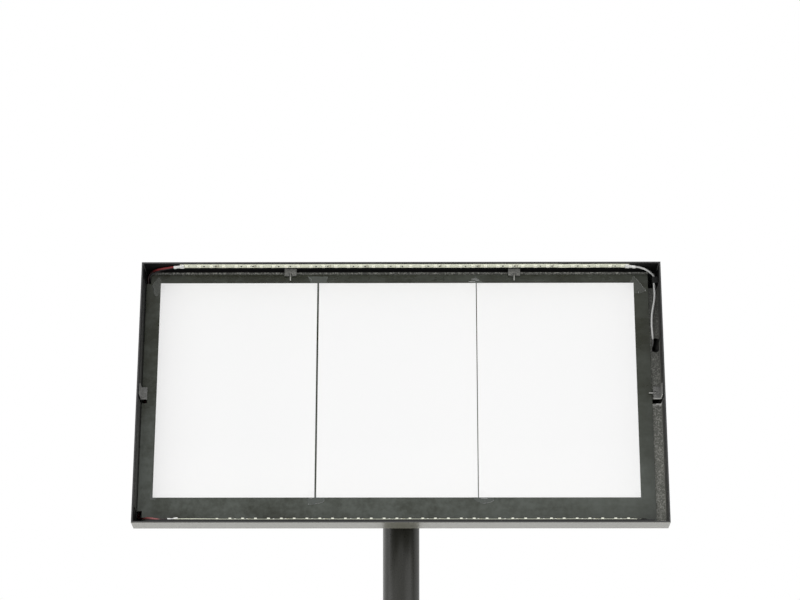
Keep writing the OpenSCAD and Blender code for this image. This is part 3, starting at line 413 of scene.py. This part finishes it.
# Post, base and tilting head
# A drawn steel tube in a warm dark gloss paint, which stands in a collar on a heavy base plate.
# The head that carries the case is welded plate in the same black powder coat as the case.
post_paint = Finish("post_paint", ior=1.45)
peel = post_paint.noise(320, 2)
post_paint.set(base_color=post_paint.mix(post_paint.noise(12, 4),
                                         (0.016, 0.016, 0.012), (0.021, 0.021, 0.016)),
               roughness=post_paint.spread(peel, 0.3, 0.7, 0.27, 0.33))
post_paint.bump(peel, 0.00004, 0.3)
dress(post_paint, "post_tube", edge=0.4)
plain_powder = Finish("powder_black_outside", ior=1.3, coat_weight=0.8, coat_ior=1.7, coat_roughness=0.22)
plain_powder.set(base_color=plain_powder.mix(plain_powder.noise(14, 4, 0.6),
                                             (0.022, 0.022, 0.021), (0.034, 0.034, 0.032)),
                 roughness=plain_powder.spread(plain_powder.noise(900, 2), 0.3, 0.7, 0.38, 0.48))
plain_powder.bump(plain_powder.noise(900, 2) + plain_powder.noise(240, 2) * 1.5, 0.00006, 0.5)
dress(plain_powder, "base_plate", "post_flange", "post_head", "tilt_bracket", "backing_plate", edge=0.6)


# Screws, nuts and pins
# Zinc-plated steel fasteners, with the faint cloudy yellow of the plating, and worn steel pins.
# The grub screws in the post's collar are dark oxidised steel.
zinc = Finish("zinc", metallic=1.0, roughness=0.3)
plating = zinc.noise(260, 3, 0.6)
zinc.set(base_color=zinc.mix(plating, (0.60, 0.60, 0.57), (0.78, 0.77, 0.72)),
         roughness=zinc.spread(plating, 0.3, 0.7, 0.24, 0.40))
zinc.bump(zinc.noise(1500, 2), 0.00002, 0.4)
dress(zinc, "flange_bolts", "head_screws", "pivot_bolt", "pivot_washers", "pivot_nut", "lug_screws",
      "cover_studs", "cover_washers", "cover_nuts", "driver_screws", "bracket_bolts", "bracket_nuts",
      edge=0.25)
pin_steel = Finish("pin_steel", metallic=1.0)
tarnish = pin_steel.noise(400, 3)
pin_steel.set(base_color=pin_steel.mix(tarnish, (0.30, 0.30, 0.29), (0.50, 0.50, 0.48)),
              roughness=pin_steel.spread(tarnish, 0.3, 0.7, 0.42, 0.55))
dress(pin_steel, "pin_top_left", "pin_top_right", "pin_right", edge=0.2, soft=True)
dark_steel = Finish("dark_steel", metallic=0.9, roughness=0.45)
oxide = dark_steel.noise(500, 3)
dark_steel.set(base_color=dark_steel.mix(oxide, (0.045, 0.045, 0.045), (0.085, 0.082, 0.078)),
               roughness=dark_steel.spread(oxide, 0.3, 0.7, 0.38, 0.52))
dress(dark_steel, "collar_grub_screws", edge=0.2)


# Rubber and plastic parts
# Moulded rubber feet and grommets, a nylon cable gland with a grey seal, a nylon lead clip, and
# the pressed friction washers of the tilting joint.
rubber = moulded("rubber_black", (0.012, 0.012, 0.012), (0.022, 0.022, 0.021), 0.72, 900, 0.00006)
rubber_grey = moulded("rubber_grey", (0.16, 0.16, 0.158), (0.21, 0.21, 0.205), 0.7, 900, 0.00006)
nylon = moulded("nylon_black", (0.010, 0.010, 0.010), (0.018, 0.018, 0.018), 0.46, 1600, 0.00003)
friction = moulded("friction_plastic", (0.24, 0.20, 0.15), (0.31, 0.26, 0.20), 0.6, 1200, 0.00004)
dress(rubber, "foot_pads", "post_cable_grommet", "cover_grommet", edge=0.5)
dress(rubber_grey, "gland_seal", edge=0.2)
dress(nylon, "gland_body", "gland_nut", edge=0.35)
clip_nylon = moulded("clip_black", (0.004, 0.004, 0.004), (0.007, 0.007, 0.007), 0.65, 900, 0.00004)
dress(clip_nylon, "lead_clip", edge=0.5, soft=True)
dress(friction, "friction_washers", edge=0.15)


# Light strips
# White flexible circuit tape, stuck under the top wall and on the ledge. Each 50 mm segment has
# three square light chips, two small resistors and copper pads at its cutting line.
strip_left, strip_right, strip_front, strip_back = -295.4, 304.6, 3.0, 15.0
tape_thick, segment_long, segments, chips_each = 0.42, 50, 12, 3
parts_base, chip_half, chip_high = tape_thick - 0.02, 2.48, 1.6
pad_rows, resistor_places = (-3.6, -1.2, 1.2, 3.6), (31.8, 47.2)
ledge_top = 3.0 - inner_z
lower_shift, lower_bow, lower_curl, lower_narrow = 4.0, 1.25, 0.95, 0.70


class Shape:
    """Points and faces of one mesh along the case's axes in millimetres, with a finish per face."""

    def __init__(self, turned=None):
        self.points, self.faces, self.which = [], [], []
        self.turned = turned

    def add(self, points, faces, finish):
        start = len(self.points)
        self.points += [tuple(self.turned @ Vector(p)) if self.turned else tuple(p) for p in points]
        for face in faces:
            self.faces.append([start + k for k in face])
            self.which.append(finish)

    def loft(self, rings, finish=0, ends=(True, True)):
        """Closed rings of as many points each, joined one to the next."""
        count = len(rings[0])
        faces = [(r * count + k, r * count + (k + 1) % count,
                  (r + 1) * count + (k + 1) % count, (r + 1) * count + k)
                 for r in range(len(rings) - 1) for k in range(count)]
        if ends[0]:
            faces.append(tuple(range(count))[::-1])
        if ends[1]:
            faces.append(tuple(range((len(rings) - 1) * count, len(rings) * count)))
        self.add([p for ring in rings for p in ring], faces, finish)

    def block(self, low, high, corner, ease, finish):
        """An upright block with rounded corners and eased edges at its two ends."""
        rings = [rounded(low, high, corner, z, inset, 3) for z, inset in
                 ((low[2], ease), (low[2] + ease, 0), (high[2] - ease, 0), (high[2], ease))]
        self.loft(rings, finish)

    def piece(self, name, finishes, slot, hides):
        """The piece of the case that this shape is, in place of the CAD nodes that it hides."""
        points = [from_mm @ Vector(p) for p in self.points]
        made = mesh_object(name, points, self.faces, finishes, self.which)
        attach(made, "case")
        made.data.set_sharp_from_angle(angle=math.radians(40))
        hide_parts(*hides)


def rounded(low, high, corner, z, inset, steps):
    """A rounded rectangle at a height, drawn in by an inset, with so many steps to a corner."""
    x0, y0, x1, y1 = low[0] + inset, low[1] + inset, high[0] - inset, high[1] - inset
    r = max(0.01, min(corner, (x1 - x0) / 2.01, (y1 - y0) / 2.01))
    ring = []
    for cx, cy, start in ((x1 - r, y1 - r, 0), (x0 + r, y1 - r, 90),
                          (x0 + r, y0 + r, 180), (x1 - r, y0 + r, 270)):
        for k in range(steps + 1):
            angle = math.radians(start + 90 * k / steps)
            ring.append((cx + r * math.cos(angle), cy + r * math.sin(angle), z))
    return ring


def eased(value, low, high):
    """From 0 to 1 between two values, with soft ends."""
    t = min(1.0, max(0.0, (value - low) / (high - low)))
    return t * t * (3 - 2 * t)


def light_tape(shape, low):
    """A tape with its parts, which lies a little unevenly. Its own z points away from what it is
    stuck to. The low one is bowed up between its edges, curled up in front and a little slack."""
    def bow(x):
        rise = eased(x, -262, -226) * eased(x, strip_right - 3, strip_right - 13)
        return lower_bow * rise if low else 0.0

    def placed(x):
        return x * 0.992 - 5.0 if low else x

    def curl(x):
        rise = (0.30 + 0.5 * eased(x, -225, -262)) * (1 + 0.2 * math.sin(x / 23.0))
        return lower_curl * rise if low else 0.0

    rng = random.Random(11 if low else 7)
    loose_from, loose_to = 205, 262
    stations = 121
    rings = []
    for k in range(stations):
        x = strip_left + (strip_right - strip_left) * k / (stations - 1)
        wave = 0.12 * math.sin(x / 31.0) + 0.10 * math.sin(x / 11.3 + 1.0)
        if not low and loose_from < x < loose_to:
            wave += 0.7 * math.sin((x - loose_from) / (loose_to - loose_from) * math.pi * 2) ** 2
        front, arch = curl(x), bow(x) * 0.9
        shoulder = bow(x) * 0.3
        sway = 0.15 * math.sin(x / 47)
        y0, y1 = strip_front + sway, strip_back + sway
        z = max(0.02, 0.06 + wave * 0.5)
        top = z + tape_thick
        rings.append([
            (x, y0, z + front), (x, y0 + 0.6, z + front * 0.35), (x, y0 + 1.6, z + shoulder),
            (x, y0 + 3.6, z + arch), (x, y1 - 3.6, z + arch), (x, y1 - 0.3, z), (x, y1, z + 0.05),
            (x, y1, top - 0.04), (x, y1 - 0.3, top), (x, y1 - 3.6, top + arch), (x, y0 + 3.6, top + arch),
            (x, y0 + 1.6, top + shoulder), (x, y0 + 0.7, top + front * 0.35),
            (x, y0 + 0.12, top - 0.02 + front)])
    shape.loft(rings, 0)
    middle = (strip_front + strip_back) / 2
    for segment in range(segments):
        x0 = strip_left + segment_long * segment
        for side in (-1, 1):
            for row in pad_rows:
                if segment > 0 or side > 0:
                    x = placed(x0 + side * 1.15)
                    z = parts_base + bow(x) * 0.9
                    shape.block((x - 0.85, middle + row - 0.8, z), (x + 0.85, middle + row + 0.8, z + 0.12),
                                0.6, 0.03, 3)
        for chip in range(chips_each):
            x = placed(x0 + (chip + 0.5) * segment_long / chips_each)
            light_chip(shape, x, middle, parts_base + bow(x) * 0.95, rng, lower_narrow if low else 1.0)
        for along in resistor_places:
            x = placed(x0 + along)
            resistor_on(shape, x, middle - 0.4, tape_thick + bow(x) * 0.9)


def light_chip(shape, x, y, base, rng, narrow):
    """A light chip: a white housing with a dished yellow window and three legs a side. narrow is
    its width along the tape as a share of a square chip's."""
    x += rng.uniform(-0.15, 0.15)
    y += rng.uniform(-0.1, 0.1)
    top = base + chip_high
    low, high = (x - chip_half * narrow, y - chip_half), (x + chip_half * narrow, y + chip_half)
    outside = [rounded(low, high, 0.35, z, inset, 5) for z, inset in
               ((base + 0.02, 0.1), (base + 0.8, 0.0), (top - 0.12, 0.06), (top, 0.16))]
    angles = [math.atan2(p[1] - y, p[0] - x) for p in outside[0]]
    dish = [[(x + r * narrow * math.cos(a), y + r * math.sin(a), z) for a in angles]
            for z, r in ((top, 2.05), (top - 0.05, 1.95), (top - 0.28, 1.7))]
    shape.loft(outside + dish, 1, ends=(True, False))
    shape.add(dish[-1], [tuple(range(len(angles)))], 2)
    for side in (-1, 1):
        for row in (-1.6, 0, 1.6):
            x_leg = x + side * (chip_half * narrow + 0.15)
            shape.block((x_leg - 0.3, y + row - 0.4, base), (x_leg + 0.3, y + row + 0.4, base + 0.55),
                        0.08, 0.06, 5)


def resistor_on(shape, x, y, z):
    """A small dark resistor across the tape, with its two tinned ends."""
    shape.block((x - 0.85, y - 1.6, z + 0.03), (x + 0.85, y + 1.6, z + 0.73), 0.05, 0.06, 4)
    for end in (-1, 1):
        shape.block((x - 0.88, y + end * 1.75 - 0.25, z), (x + 0.88, y + end * 1.75 + 0.25, z + 0.78),
                    0.08, 0.05, 5)


def speckled(name, scale, detail, first, second, **constants):
    """A finish that wavers a little between two close tones."""
    finish = Finish(name, **constants)
    finish.set(base_color=finish.mix(finish.noise(scale, detail), first, second))
    return finish


tape = Finish("strip_tape", roughness=0.40)
tape.set(base_color=tape.mix(tape.noise(40, 3), (0.88, 0.90, 0.72), (0.93, 0.95, 0.79)),
         roughness=tape.spread(tape.noise(800, 2), 0.3, 0.7, 0.34, 0.48))
tape.bump(tape.noise(700, 2), 0.00003, 0.4)
strip_finishes = (
    tape,
    speckled("light_chip", 500, 2, (0.90, 0.91, 0.80), (0.95, 0.95, 0.87), roughness=0.35),
    speckled("chip_window", 900, 2, (0.80, 0.76, 0.42), (0.86, 0.83, 0.54),
             roughness=0.25, coat_weight=0.5),
    speckled("copper_pad", 900, 3, (0.55, 0.50, 0.38), (0.66, 0.60, 0.46), metallic=0.9, roughness=0.4),
    speckled("resistor", 900, 3, (0.015, 0.015, 0.014), (0.03, 0.03, 0.028), roughness=0.4),
    speckled("tin", 700, 3, (0.55, 0.55, 0.54), (0.72, 0.72, 0.70), metallic=1.0, roughness=0.35))
under_wall = Matrix.Translation((0, 0, inner_z)) @ Matrix.Scale(-1, 4, (0, 0, 1))
on_ledge = Matrix.Translation((lower_shift, 0, ledge_top))
for name, low, turned in (("upper", False, under_wall), ("lower", True, on_ledge)):
    strip = Shape(turned)
    light_tape(strip, low)
    if not low:
        strip.faces = [face[::-1] for face in strip.faces]
    strip.piece("light_strip_" + name, strip_finishes, "strip_tape", ("strip_" + name, "chips_" + name))


# Sleeves and wires
# Shrink sleeve over each soldered end, a red and black pair from the upper strip to the lower
# one behind the tray, and a round white lead from the upper strip down to the driver.
def smooth_route(points, steps):
    """A smooth line through a route's points, with so many steps from each to the next."""
    points = [Vector(p) for p in points]
    ends = [points[0] * 2 - points[1]] + points + [points[-1] * 2 - points[-2]]
    line = []
    for k in range(1, len(ends) - 2):
        before, here, there, after = ends[k - 1:k + 3]
        span = (there - here).length
        out = (there - before).normalized() * span
        into = (after - here).normalized() * span
        for step in range(steps):
            t = step / steps
            line.append(here * (2 * t ** 3 - 3 * t ** 2 + 1) + out * (t ** 3 - 2 * t ** 2 + t)
                        + there * (3 * t ** 2 - 2 * t ** 3) + into * (t ** 3 - t ** 2))
    return line + [points[-1]]


def round_rings(line, radius, sides):
    """Rings square to a line, turned as little as can be from one to the next. radius gives the
    radius for each share of the line's points, from 0 to 1."""
    rings = []
    side = None
    for k, point in enumerate(line):
        way = (line[min(k + 1, len(line) - 1)] - line[max(k - 1, 0)]).normalized()
        if side is None:
            side = way.orthogonal().normalized()
        side = (side - way * side.dot(way)).normalized()
        other = way.cross(side)
        r = radius(k / (len(line) - 1))
        rings.append([tuple(point + r * (math.cos(a) * side + math.sin(a) * other))
                      for a in (2 * math.pi * n / sides for n in range(sides))])
    return rings


def near(points, x, z):
    """A route's points that are given from a corner of the case, at the front of the tray."""
    return [(x + a, tray_front + b, z + c) for a, b, c in points]


def wire(node, route, width, finish, slot):
    """A round wire along its route, in place of its CAD node."""
    shape = Shape()
    shape.loft(round_rings(smooth_route(route, 6), lambda share: width / 2, 14))
    shape.piece(node + "_drawn", [finish], slot, (node,))


tray_front, lead_hole_z, sleeve_reach = 27.3, 70.3, 8.6
driver_end, driver_y, driver_z = 227, 42.5, 62
left_end, right_end = strip_left - sleeve_reach, strip_right + sleeve_reach
lower_end = left_end + lower_shift
red_y, black_y, lead_y = strip_front + 4.5, strip_front + 8.1, strip_front + 6.5
red_low_y, black_low_y = strip_front + 5.5, strip_front + 8.9
upper_wire_z, lower_wire_z, upper_lead_z = inner_z - 2, ledge_top + 1.4, inner_z - 1.8
sleeve = moulded("sleeve_white", (0.86, 0.86, 0.84), (0.92, 0.92, 0.90), 0.42, 500, 0.00006)
dark_sleeve = moulded("sleeve_dark", (0.02, 0.02, 0.018), (0.03, 0.03, 0.027), 0.42, 500, 0.00006)
lead_white = moulded("lead_white", (0.58, 0.58, 0.57), (0.68, 0.68, 0.67), 0.40, 700, 0.00003)
wire_red = moulded("wire_red", (0.30, 0.022, 0.022), (0.42, 0.04, 0.038), 0.30, 700, 0.00003)
red_x, red_z = wire_red.case_axes()
# The red is darker at the top and paler and pinker towards the bottom.
red_low_paler = wire_red.mix(wire_red.spread(red_z, 0, -160), (0.20, 0.016, 0.018), (0.30, 0.09, 0.09))
# Painted shade: the red wire turns near black in the left corner of the case and just before the lower
# sleeve.
shade_on_red = wire_red.spread(red_x, -326, -334) + (red_z < 0) * wire_red.spread(red_x, -313, -308)
wire_red.set(base_color=wire_red.mix(shade_on_red, red_low_paler, (0.012, 0.001, 0.001)))
wire_black = moulded("wire_black", (0.010, 0.010, 0.010), (0.016, 0.016, 0.016), 0.35, 700, 0.00003)
red_route = (
    [(left_end, red_y, upper_wire_z), (left_end - 1.4, red_y, upper_wire_z)]
    + near([(33, -17.5, -2.2), (25, -14.8, -2.4), (17, -10.9, -2.6), (10.4, -7.3, -4), (6, -3.7, -7.4),
            (4.2, 0.1, -12), (4.5, 3.3, -17), (5.8, 5.1, -25)], -inner_x, inner_z)
    + near([(5.8, 5.1, 27), (4.5, 3.3, 18), (4.1, -0.3, 12.4), (5.4, -4.3, 9.6), (10.6, -8.9, 8),
            (17, -15.5, 6.9), (24, -20.6, 5.1), (31, -22.5, 3.5), (36.6, -21.0, 3.4)], -inner_x, -inner_z)
    + [(lower_end - 1.4, red_low_y, lower_wire_z), (lower_end, red_low_y, lower_wire_z)])
black_route = (
    [(left_end, black_y, upper_wire_z), (left_end - 1.4, black_y, upper_wire_z)]
    + near([(33, -13.9, -2.2), (25.6, -11.3, -2.6), (18.4, -8.3, -3.8), (12, -5.7, -6.4), (7.8, -4.1, -9),
            (6.9, -0.5, -12.6), (7, 3, -16.8), (7.8, 6.1, -23), (8.6, 7.7, -31)], -inner_x, inner_z)
    + near([(8.6, 7.7, 31), (7.8, 6.1, 23.4), (7, 3, 17.4), (6.9, -0.5, 13.2), (7.8, -4.2, 10.4),
            (12.4, -7, 8.8), (20, -10.3, 7), (28.6, -13.4, 5.4)], -inner_x, -inner_z)
    + [(lower_end - 1.4, black_low_y, lower_wire_z), (lower_end, black_low_y, lower_wire_z)])
lead_route = (
    [(right_end, lead_y, upper_lead_z), (right_end + 1.6, lead_y, upper_lead_z)]
    + near([(-24.4, -15.5, -1.8), (-18.4, -13.3, -3), (-13, -9.9, -4.8), (-8.6, -6.3, -6.7),
            (-5.8, -3.3, -8.4), (-4.9, -2, -10.4), (-4.9, -2, -20.1), (-4.9, -1.8, -26),
            (-4.6, -1.7, -34)], inner_x, inner_z)
    + near([(-5.4, -1.7, 63.7), (-7, -1.7, 54.7), (-8.6, -1.7, 46.7), (-9.6, -1.7, 38.7),
            (-10, -1.7, 30.7), (-9.9, -1.8, 22.7), (-9.5, -1.8, 14.4), (-9.3, -1.2, 11.4),
            (-9.2, 0.8, 9.4), (-9.2, 3.6, 8.4), (-9.2, 6.6, 6.4), (-9.8, 9.8, 2.6),
            (-12.6, 12.4, -3), (-18.4, 13.9, -6)], inner_x, lead_hole_z)
    + [(inner_x - 27, driver_y, driver_z), (driver_end, driver_y, driver_z)])
wire("link_wire_red", red_route, 2.8, wire_red, "wire_red")
wire("link_wire_black", black_route, 2.0, wire_black, "wire_black")
wire("supply_lead", lead_route, 2.7, lead_white, "lead_white")


def shrunk_sleeve(name, x_in, x_out, stations, finish, closed):
    """A sleeve shrunk over a strip's end: flat round the tape, pinched, then round the wires.
    Each station is how far along it is, its middle y and z, its half width and half height."""
    rng = random.Random(len(name))
    stretches, sides = 30, 28
    rings = []
    for k in range(stretches + 1):
        t = k / stretches
        a, b = next((a, b) for a, b in zip(stations, stations[1:]) if a[0] <= t <= b[0])
        u = eased(t, a[0], b[0])
        y, z, wide, high = (p + (q - p) * u for p, q in zip(a[1:], b[1:]))
        ring = []
        for n in range(sides):
            angle = 2 * math.pi * n / sides
            c, s = math.cos(angle), math.sin(angle)
            crease = 0.07 * math.sin(5 * angle + 9 * t) * math.sin(math.pi * t)
            fold = 1 + crease + rng.uniform(-0.012, 0.012)
            ring.append((x_in + (x_out - x_in) * t,
                         y + wide * fold * math.copysign(abs(c) ** 0.75, c),
                         z + high * fold * math.copysign(abs(s) ** 0.75, s)))
        rings.append(ring)
    last = rings[-1]
    y, z = stations[-1][1:3]
    way = -1 if x_out > x_in else 1
    for inward, share in ((0, 0.72), (0.3 if closed else 2.5, 0.6)):
        rings.append([(p[0] + way * inward, y + (p[1] - y) * share, z + (p[2] - z) * share) for p in last])
    if way < 0:
        rings = [ring[::-1] for ring in rings]
    shape = Shape()
    shape.loft(rings, 0)
    shape.piece(name, [finish], "sleeve_white", ("strip_sleeves",))


def sleeve_stations(way, top, closed):
    """The stations of one sleeve, with z from what the tape is stuck to."""
    middle = strip_front + 6
    if closed:
        return [(0, middle, 0.6, 6.5, 0.62), (0.2, middle, 0.8, 6.5, 0.75), (0.45, middle, 0.9, 6.3, 0.8),
                (0.8, middle, 0.7, 5.8, 0.5), (1, middle, 0.5, 5.6, 0.34)]
    if not top:
        return [(0, middle, 1.6, 6.6, 1.5), (0.14, middle, 1.7, 6.6, 1.6), (0.34, middle, 1.5, 5.8, 1.4),
                (0.55, middle, 1.2, 5.0, 1.15), (0.72, middle, 1.3, 4.8, 1.2), (1, middle, 1.4, 4.6, 1.35)]
    out = lead_y if way > 0 else strip_front + 6.4
    return [(0, middle, 0.85, 6.6, 0.80), (0.12, middle, 1.15, 6.6, 1.05), (0.30, middle, 1.35, 5.6, 1.25),
            (0.50, middle, 1.3, 3.9, 1.0), (0.66, out, 1.4, 3.2, 1.05), (0.84, out, 1.85, 3.5, 1.5),
            (1, out, 1.9, 3.6, 1.55)]


sleeve_long = 13.5
sleeve_over = sleeve_long - sleeve_reach
for name, way, top, finish in (("upper_left", -1, True, sleeve), ("upper_right", 1, True, sleeve),
                               ("lower_left", -1, False, sleeve), ("lower_right", 1, False, dark_sleeve)):
    on, up = (inner_z, -1) if top else (ledge_top, 1)
    strip_end = (strip_right if way > 0 else strip_left) + (0 if top else lower_shift)
    x_in = strip_end - way * sleeve_over
    closed = finish is dark_sleeve
    stations = [(t, y, on + up * (z + 0.05), wide, high)
                for t, y, z, wide, high in sleeve_stations(way, top, closed)]
    shrunk_sleeve("sleeve_" + name, x_in, x_in + way * sleeve_long, stations, finish, closed)
dress(wire_black, "driver_input_lead", edge=0)


# Film corners
# Small cut pieces of thin clear adhesive film that hold the sheets' corners. Over the paper they
# can hardly be seen. Over the board their colour carries a painted pale sheen, most of all along
# their cut edges, with painted glints and sheen on their curled edges.
sheet_top, sheet_low = 157.8, -139.2
sheets_left, sheet_wide, gap_one, gap_two = -322.2, 210.0, 2.4, 1.2
middle_one = sheets_left + sheet_wide + gap_one / 2
middle_two = middle_one + gap_one / 2 + sheet_wide + gap_two / 2
sheets_right = sheets_left + 3 * sheet_wide + gap_one + gap_two
board_front, paper_front, film_cut = 24.3, 24.0, 0.16
film = Finish("clear_film", roughness=0.18, ior=1.5)
film_x, film_z = film.case_axes()
on_paper = (film_z < sheet_top) * (film_z > sheet_low) * (film_x > sheets_left) * (film_x < sheets_right)
on_gap = ((abs(film_x - middle_one) < gap_one / 2) + (abs(film_x - middle_two) < gap_two / 2)) * on_paper
worn = film.spread(film.noise(60, 3, 0.5), 0.42, 0.75)
# Painted sheen: over the board the film is a pale grey, paler on the lower pieces.
upper_sheen_tone = film.mix(film.spread(abs(film_x), 200, 300), (0.072, 0.081, 0.069), (0.055, 0.060, 0.049))
film_sheen_tone = film.mix(film.spread(film_z, 100, sheet_low), upper_sheen_tone, (0.082, 0.092, 0.083))
film.set(base_color=film.mix(worn * 0.25, film_sheen_tone, (0.10, 0.102, 0.097)),
         alpha=(1 - on_paper + on_gap) * 0.86 + 0.012,
         roughness=film.spread(worn, 0, 1, 0.14, 0.34))
# Painted light: a pale sheen on the cut edges, white glints, and a sheen on the curled edges.
film_finishes = (
    film,
    speckled("film_edge_sheen", 300, 3, (0.24, 0.25, 0.24), (0.36, 0.37, 0.36), roughness=0.25, alpha=0.7),
    speckled("film_glint", 300, 3, (0.85, 0.86, 0.85), (0.96, 0.96, 0.96), roughness=0.3),
    speckled("film_curl_sheen", 300, 3, (0.30, 0.31, 0.30), (0.42, 0.43, 0.42), roughness=0.3, alpha=0.5))
film_places = (
    ("top_left", sheets_left, sheet_top, ((-2.8, 9.5), (7, -5.5), (5, -11), (-6.5, -18), (-11.6, -2.4)),
     ((3, 0.45, ((-11.6, -2.4), (-8.8, -9), (-6.5, -18), (-3, -16))),)),
    ("top_right", sheets_right, sheet_top, ((0.5, 9.8), (-9, -5), (-5, -13.5), (7, -15.2), (17.5, -12.2)),
     ((2, 0.5, ((5.7, -13.6), (6.5, -13.4))), (2, 0.5, ((15.2, -11.6), (16, -11.2))),
      (3, 0.4, ((0.5, 9.8), (5, 4), (17.5, -12.2))))),
    ("gap_one_top", middle_one, sheet_top, ((-14, 9.6), (13, 9.6), (8.4, -10), (-6, -10)),
     ((3, 0.5, ((-13.6, 9), (-10, 6), (-8.4, 2))), (3, 0.4, ((12.4, 9), (11, 6))))),
    ("gap_two_top", middle_two, sheet_top, ((0, 9), (10.5, -1), (0, -11), (-10.5, -1)),
     ((2, 0.32, ((-10.2, 2), (-5, 2.4), (-1.5, 2.2))), (2, 0.30, ((-6.5, 5.4), (1.3, 5.7))),
      (2, 0.32, ((-1.3, 4.2), (3.9, 4))), (3, 0.35, ((-1.3, 6.2), (-1.4, 9))))),
    ("gap_one_low", middle_one, sheet_low,
     ((-10, 8), (12, 8), (12.8, -2), (10.4, -7), (-9, -10.4), (-10, -2)),
     ((3, 0.55, ((11.8, -1.6), (11.4, -4.4), (9.4, -6.6), (2, -8.4), (-7.6, -9.6))),
      (2, 0.45, ((-8.8, -9.2), (-8.2, -9.1))), (2, 0.35, ((-7, -0.9), (-4.4, -1.1))))),
    ("gap_two_low", middle_two, sheet_low, ((-8, 9), (8, 9), (21, -4), (15, -7), (6, -9.2), (-5, -4)),
     ((3, 0.55, ((20, -3.6), (17.6, -5.6), (12, -7.2), (7, -8.2))), (2, 0.35, ((3.4, -1), (12, -1.3))))),
    ("low_left", sheets_left, sheet_low, ((-3.4, 6), (7, 7), (4, -3.4), (-3, -3)), ()),
    ("low_right", sheets_right, sheet_low, ((-7, 7), (3.4, 6), (3, -3), (-4, -3.4)), ()))


def swell(t):
    """A curl's thickness along it, as a share of the most."""
    return 0.5 + 0.5 * math.sin(math.pi * (0.1 + 0.8 * t))


def over_paper(point):
    return sheets_left < point.x < sheets_right and sheet_low < point.z < sheet_top


def film_corner(name, x, z, outline, curls):
    """One piece of film from its outline round a corner of a sheet, with its cut edges. A curl is
    the number of its finish, its thickness and its line, where an edge stands up."""
    sheet = bmesh.new()
    sheet.faces.new([sheet.verts.new((x + a, 0, z + b)) for a, b in outline])
    bmesh.ops.triangulate(sheet, faces=sheet.faces[:])
    for _ in range(4):
        bmesh.ops.subdivide_edges(sheet, edges=sheet.edges[:], cuts=1, use_grid_fill=True)
    edges = [e for e in sheet.edges if e.is_boundary]
    rim = {v for e in edges for v in e.verts}
    for v in sheet.verts:
        lie = (paper_front if over_paper(v.co) else board_front) - 0.06
        lift = 0.12 * max(0.0, noise.noise(Vector((v.co.x * 0.12, v.co.z * 0.12, len(name)))))
        v.co.y = lie - lift - (0.12 if v in rim else 0)
    shape = Shape()
    order = {v: k for k, v in enumerate(sheet.verts)}
    shape.add([tuple(v.co) for v in sheet.verts],
              [tuple(order[v] for v in f.verts) for f in sheet.faces], 0)
    for e in edges:
        a, b = (v.co.copy() for v in e.verts)
        if not over_paper(a):
            shape.add([tuple(a), tuple(b), (b.x, b.y + film_cut, b.z), (a.x, a.y + film_cut, a.z)],
                      [(0, 1, 2, 3)], 1)
    sheet.free()
    for which, thick, line in curls:
        line = smooth_route([(x + a, board_front - 0.25 - thick / 2, z + b) for a, b in line], 4)
        shape.loft(round_rings(line, lambda t: thick / 2 * swell(t), 6), which)
    shape.piece("film_" + name, film_finishes, "clear_film", ("film_corners",))


for place in film_places:
    film_corner(*place)


# Driver
# A slim driver in a brushed aluminium shell, screwed to the inside of the rear cover, with a
# moulded white terminal block beside it.
shell = Finish("driver_shell", metallic=1.0, roughness=0.38)
brushed = shell.noise(90, 3, 0.6, stretch=(0.06, 1, 1))
shell.set(base_color=shell.mix(brushed, (0.66, 0.66, 0.64), (0.80, 0.80, 0.78)),
          roughness=shell.spread(brushed, 0.3, 0.7, 0.3, 0.46))
dress(shell, "light_driver", edge=0.8, soft=True)
block = moulded("block_white", (0.76, 0.76, 0.73), (0.82, 0.82, 0.79), 0.5, 900, 0.00004)
dress(block, "terminal_block", edge=0.5)
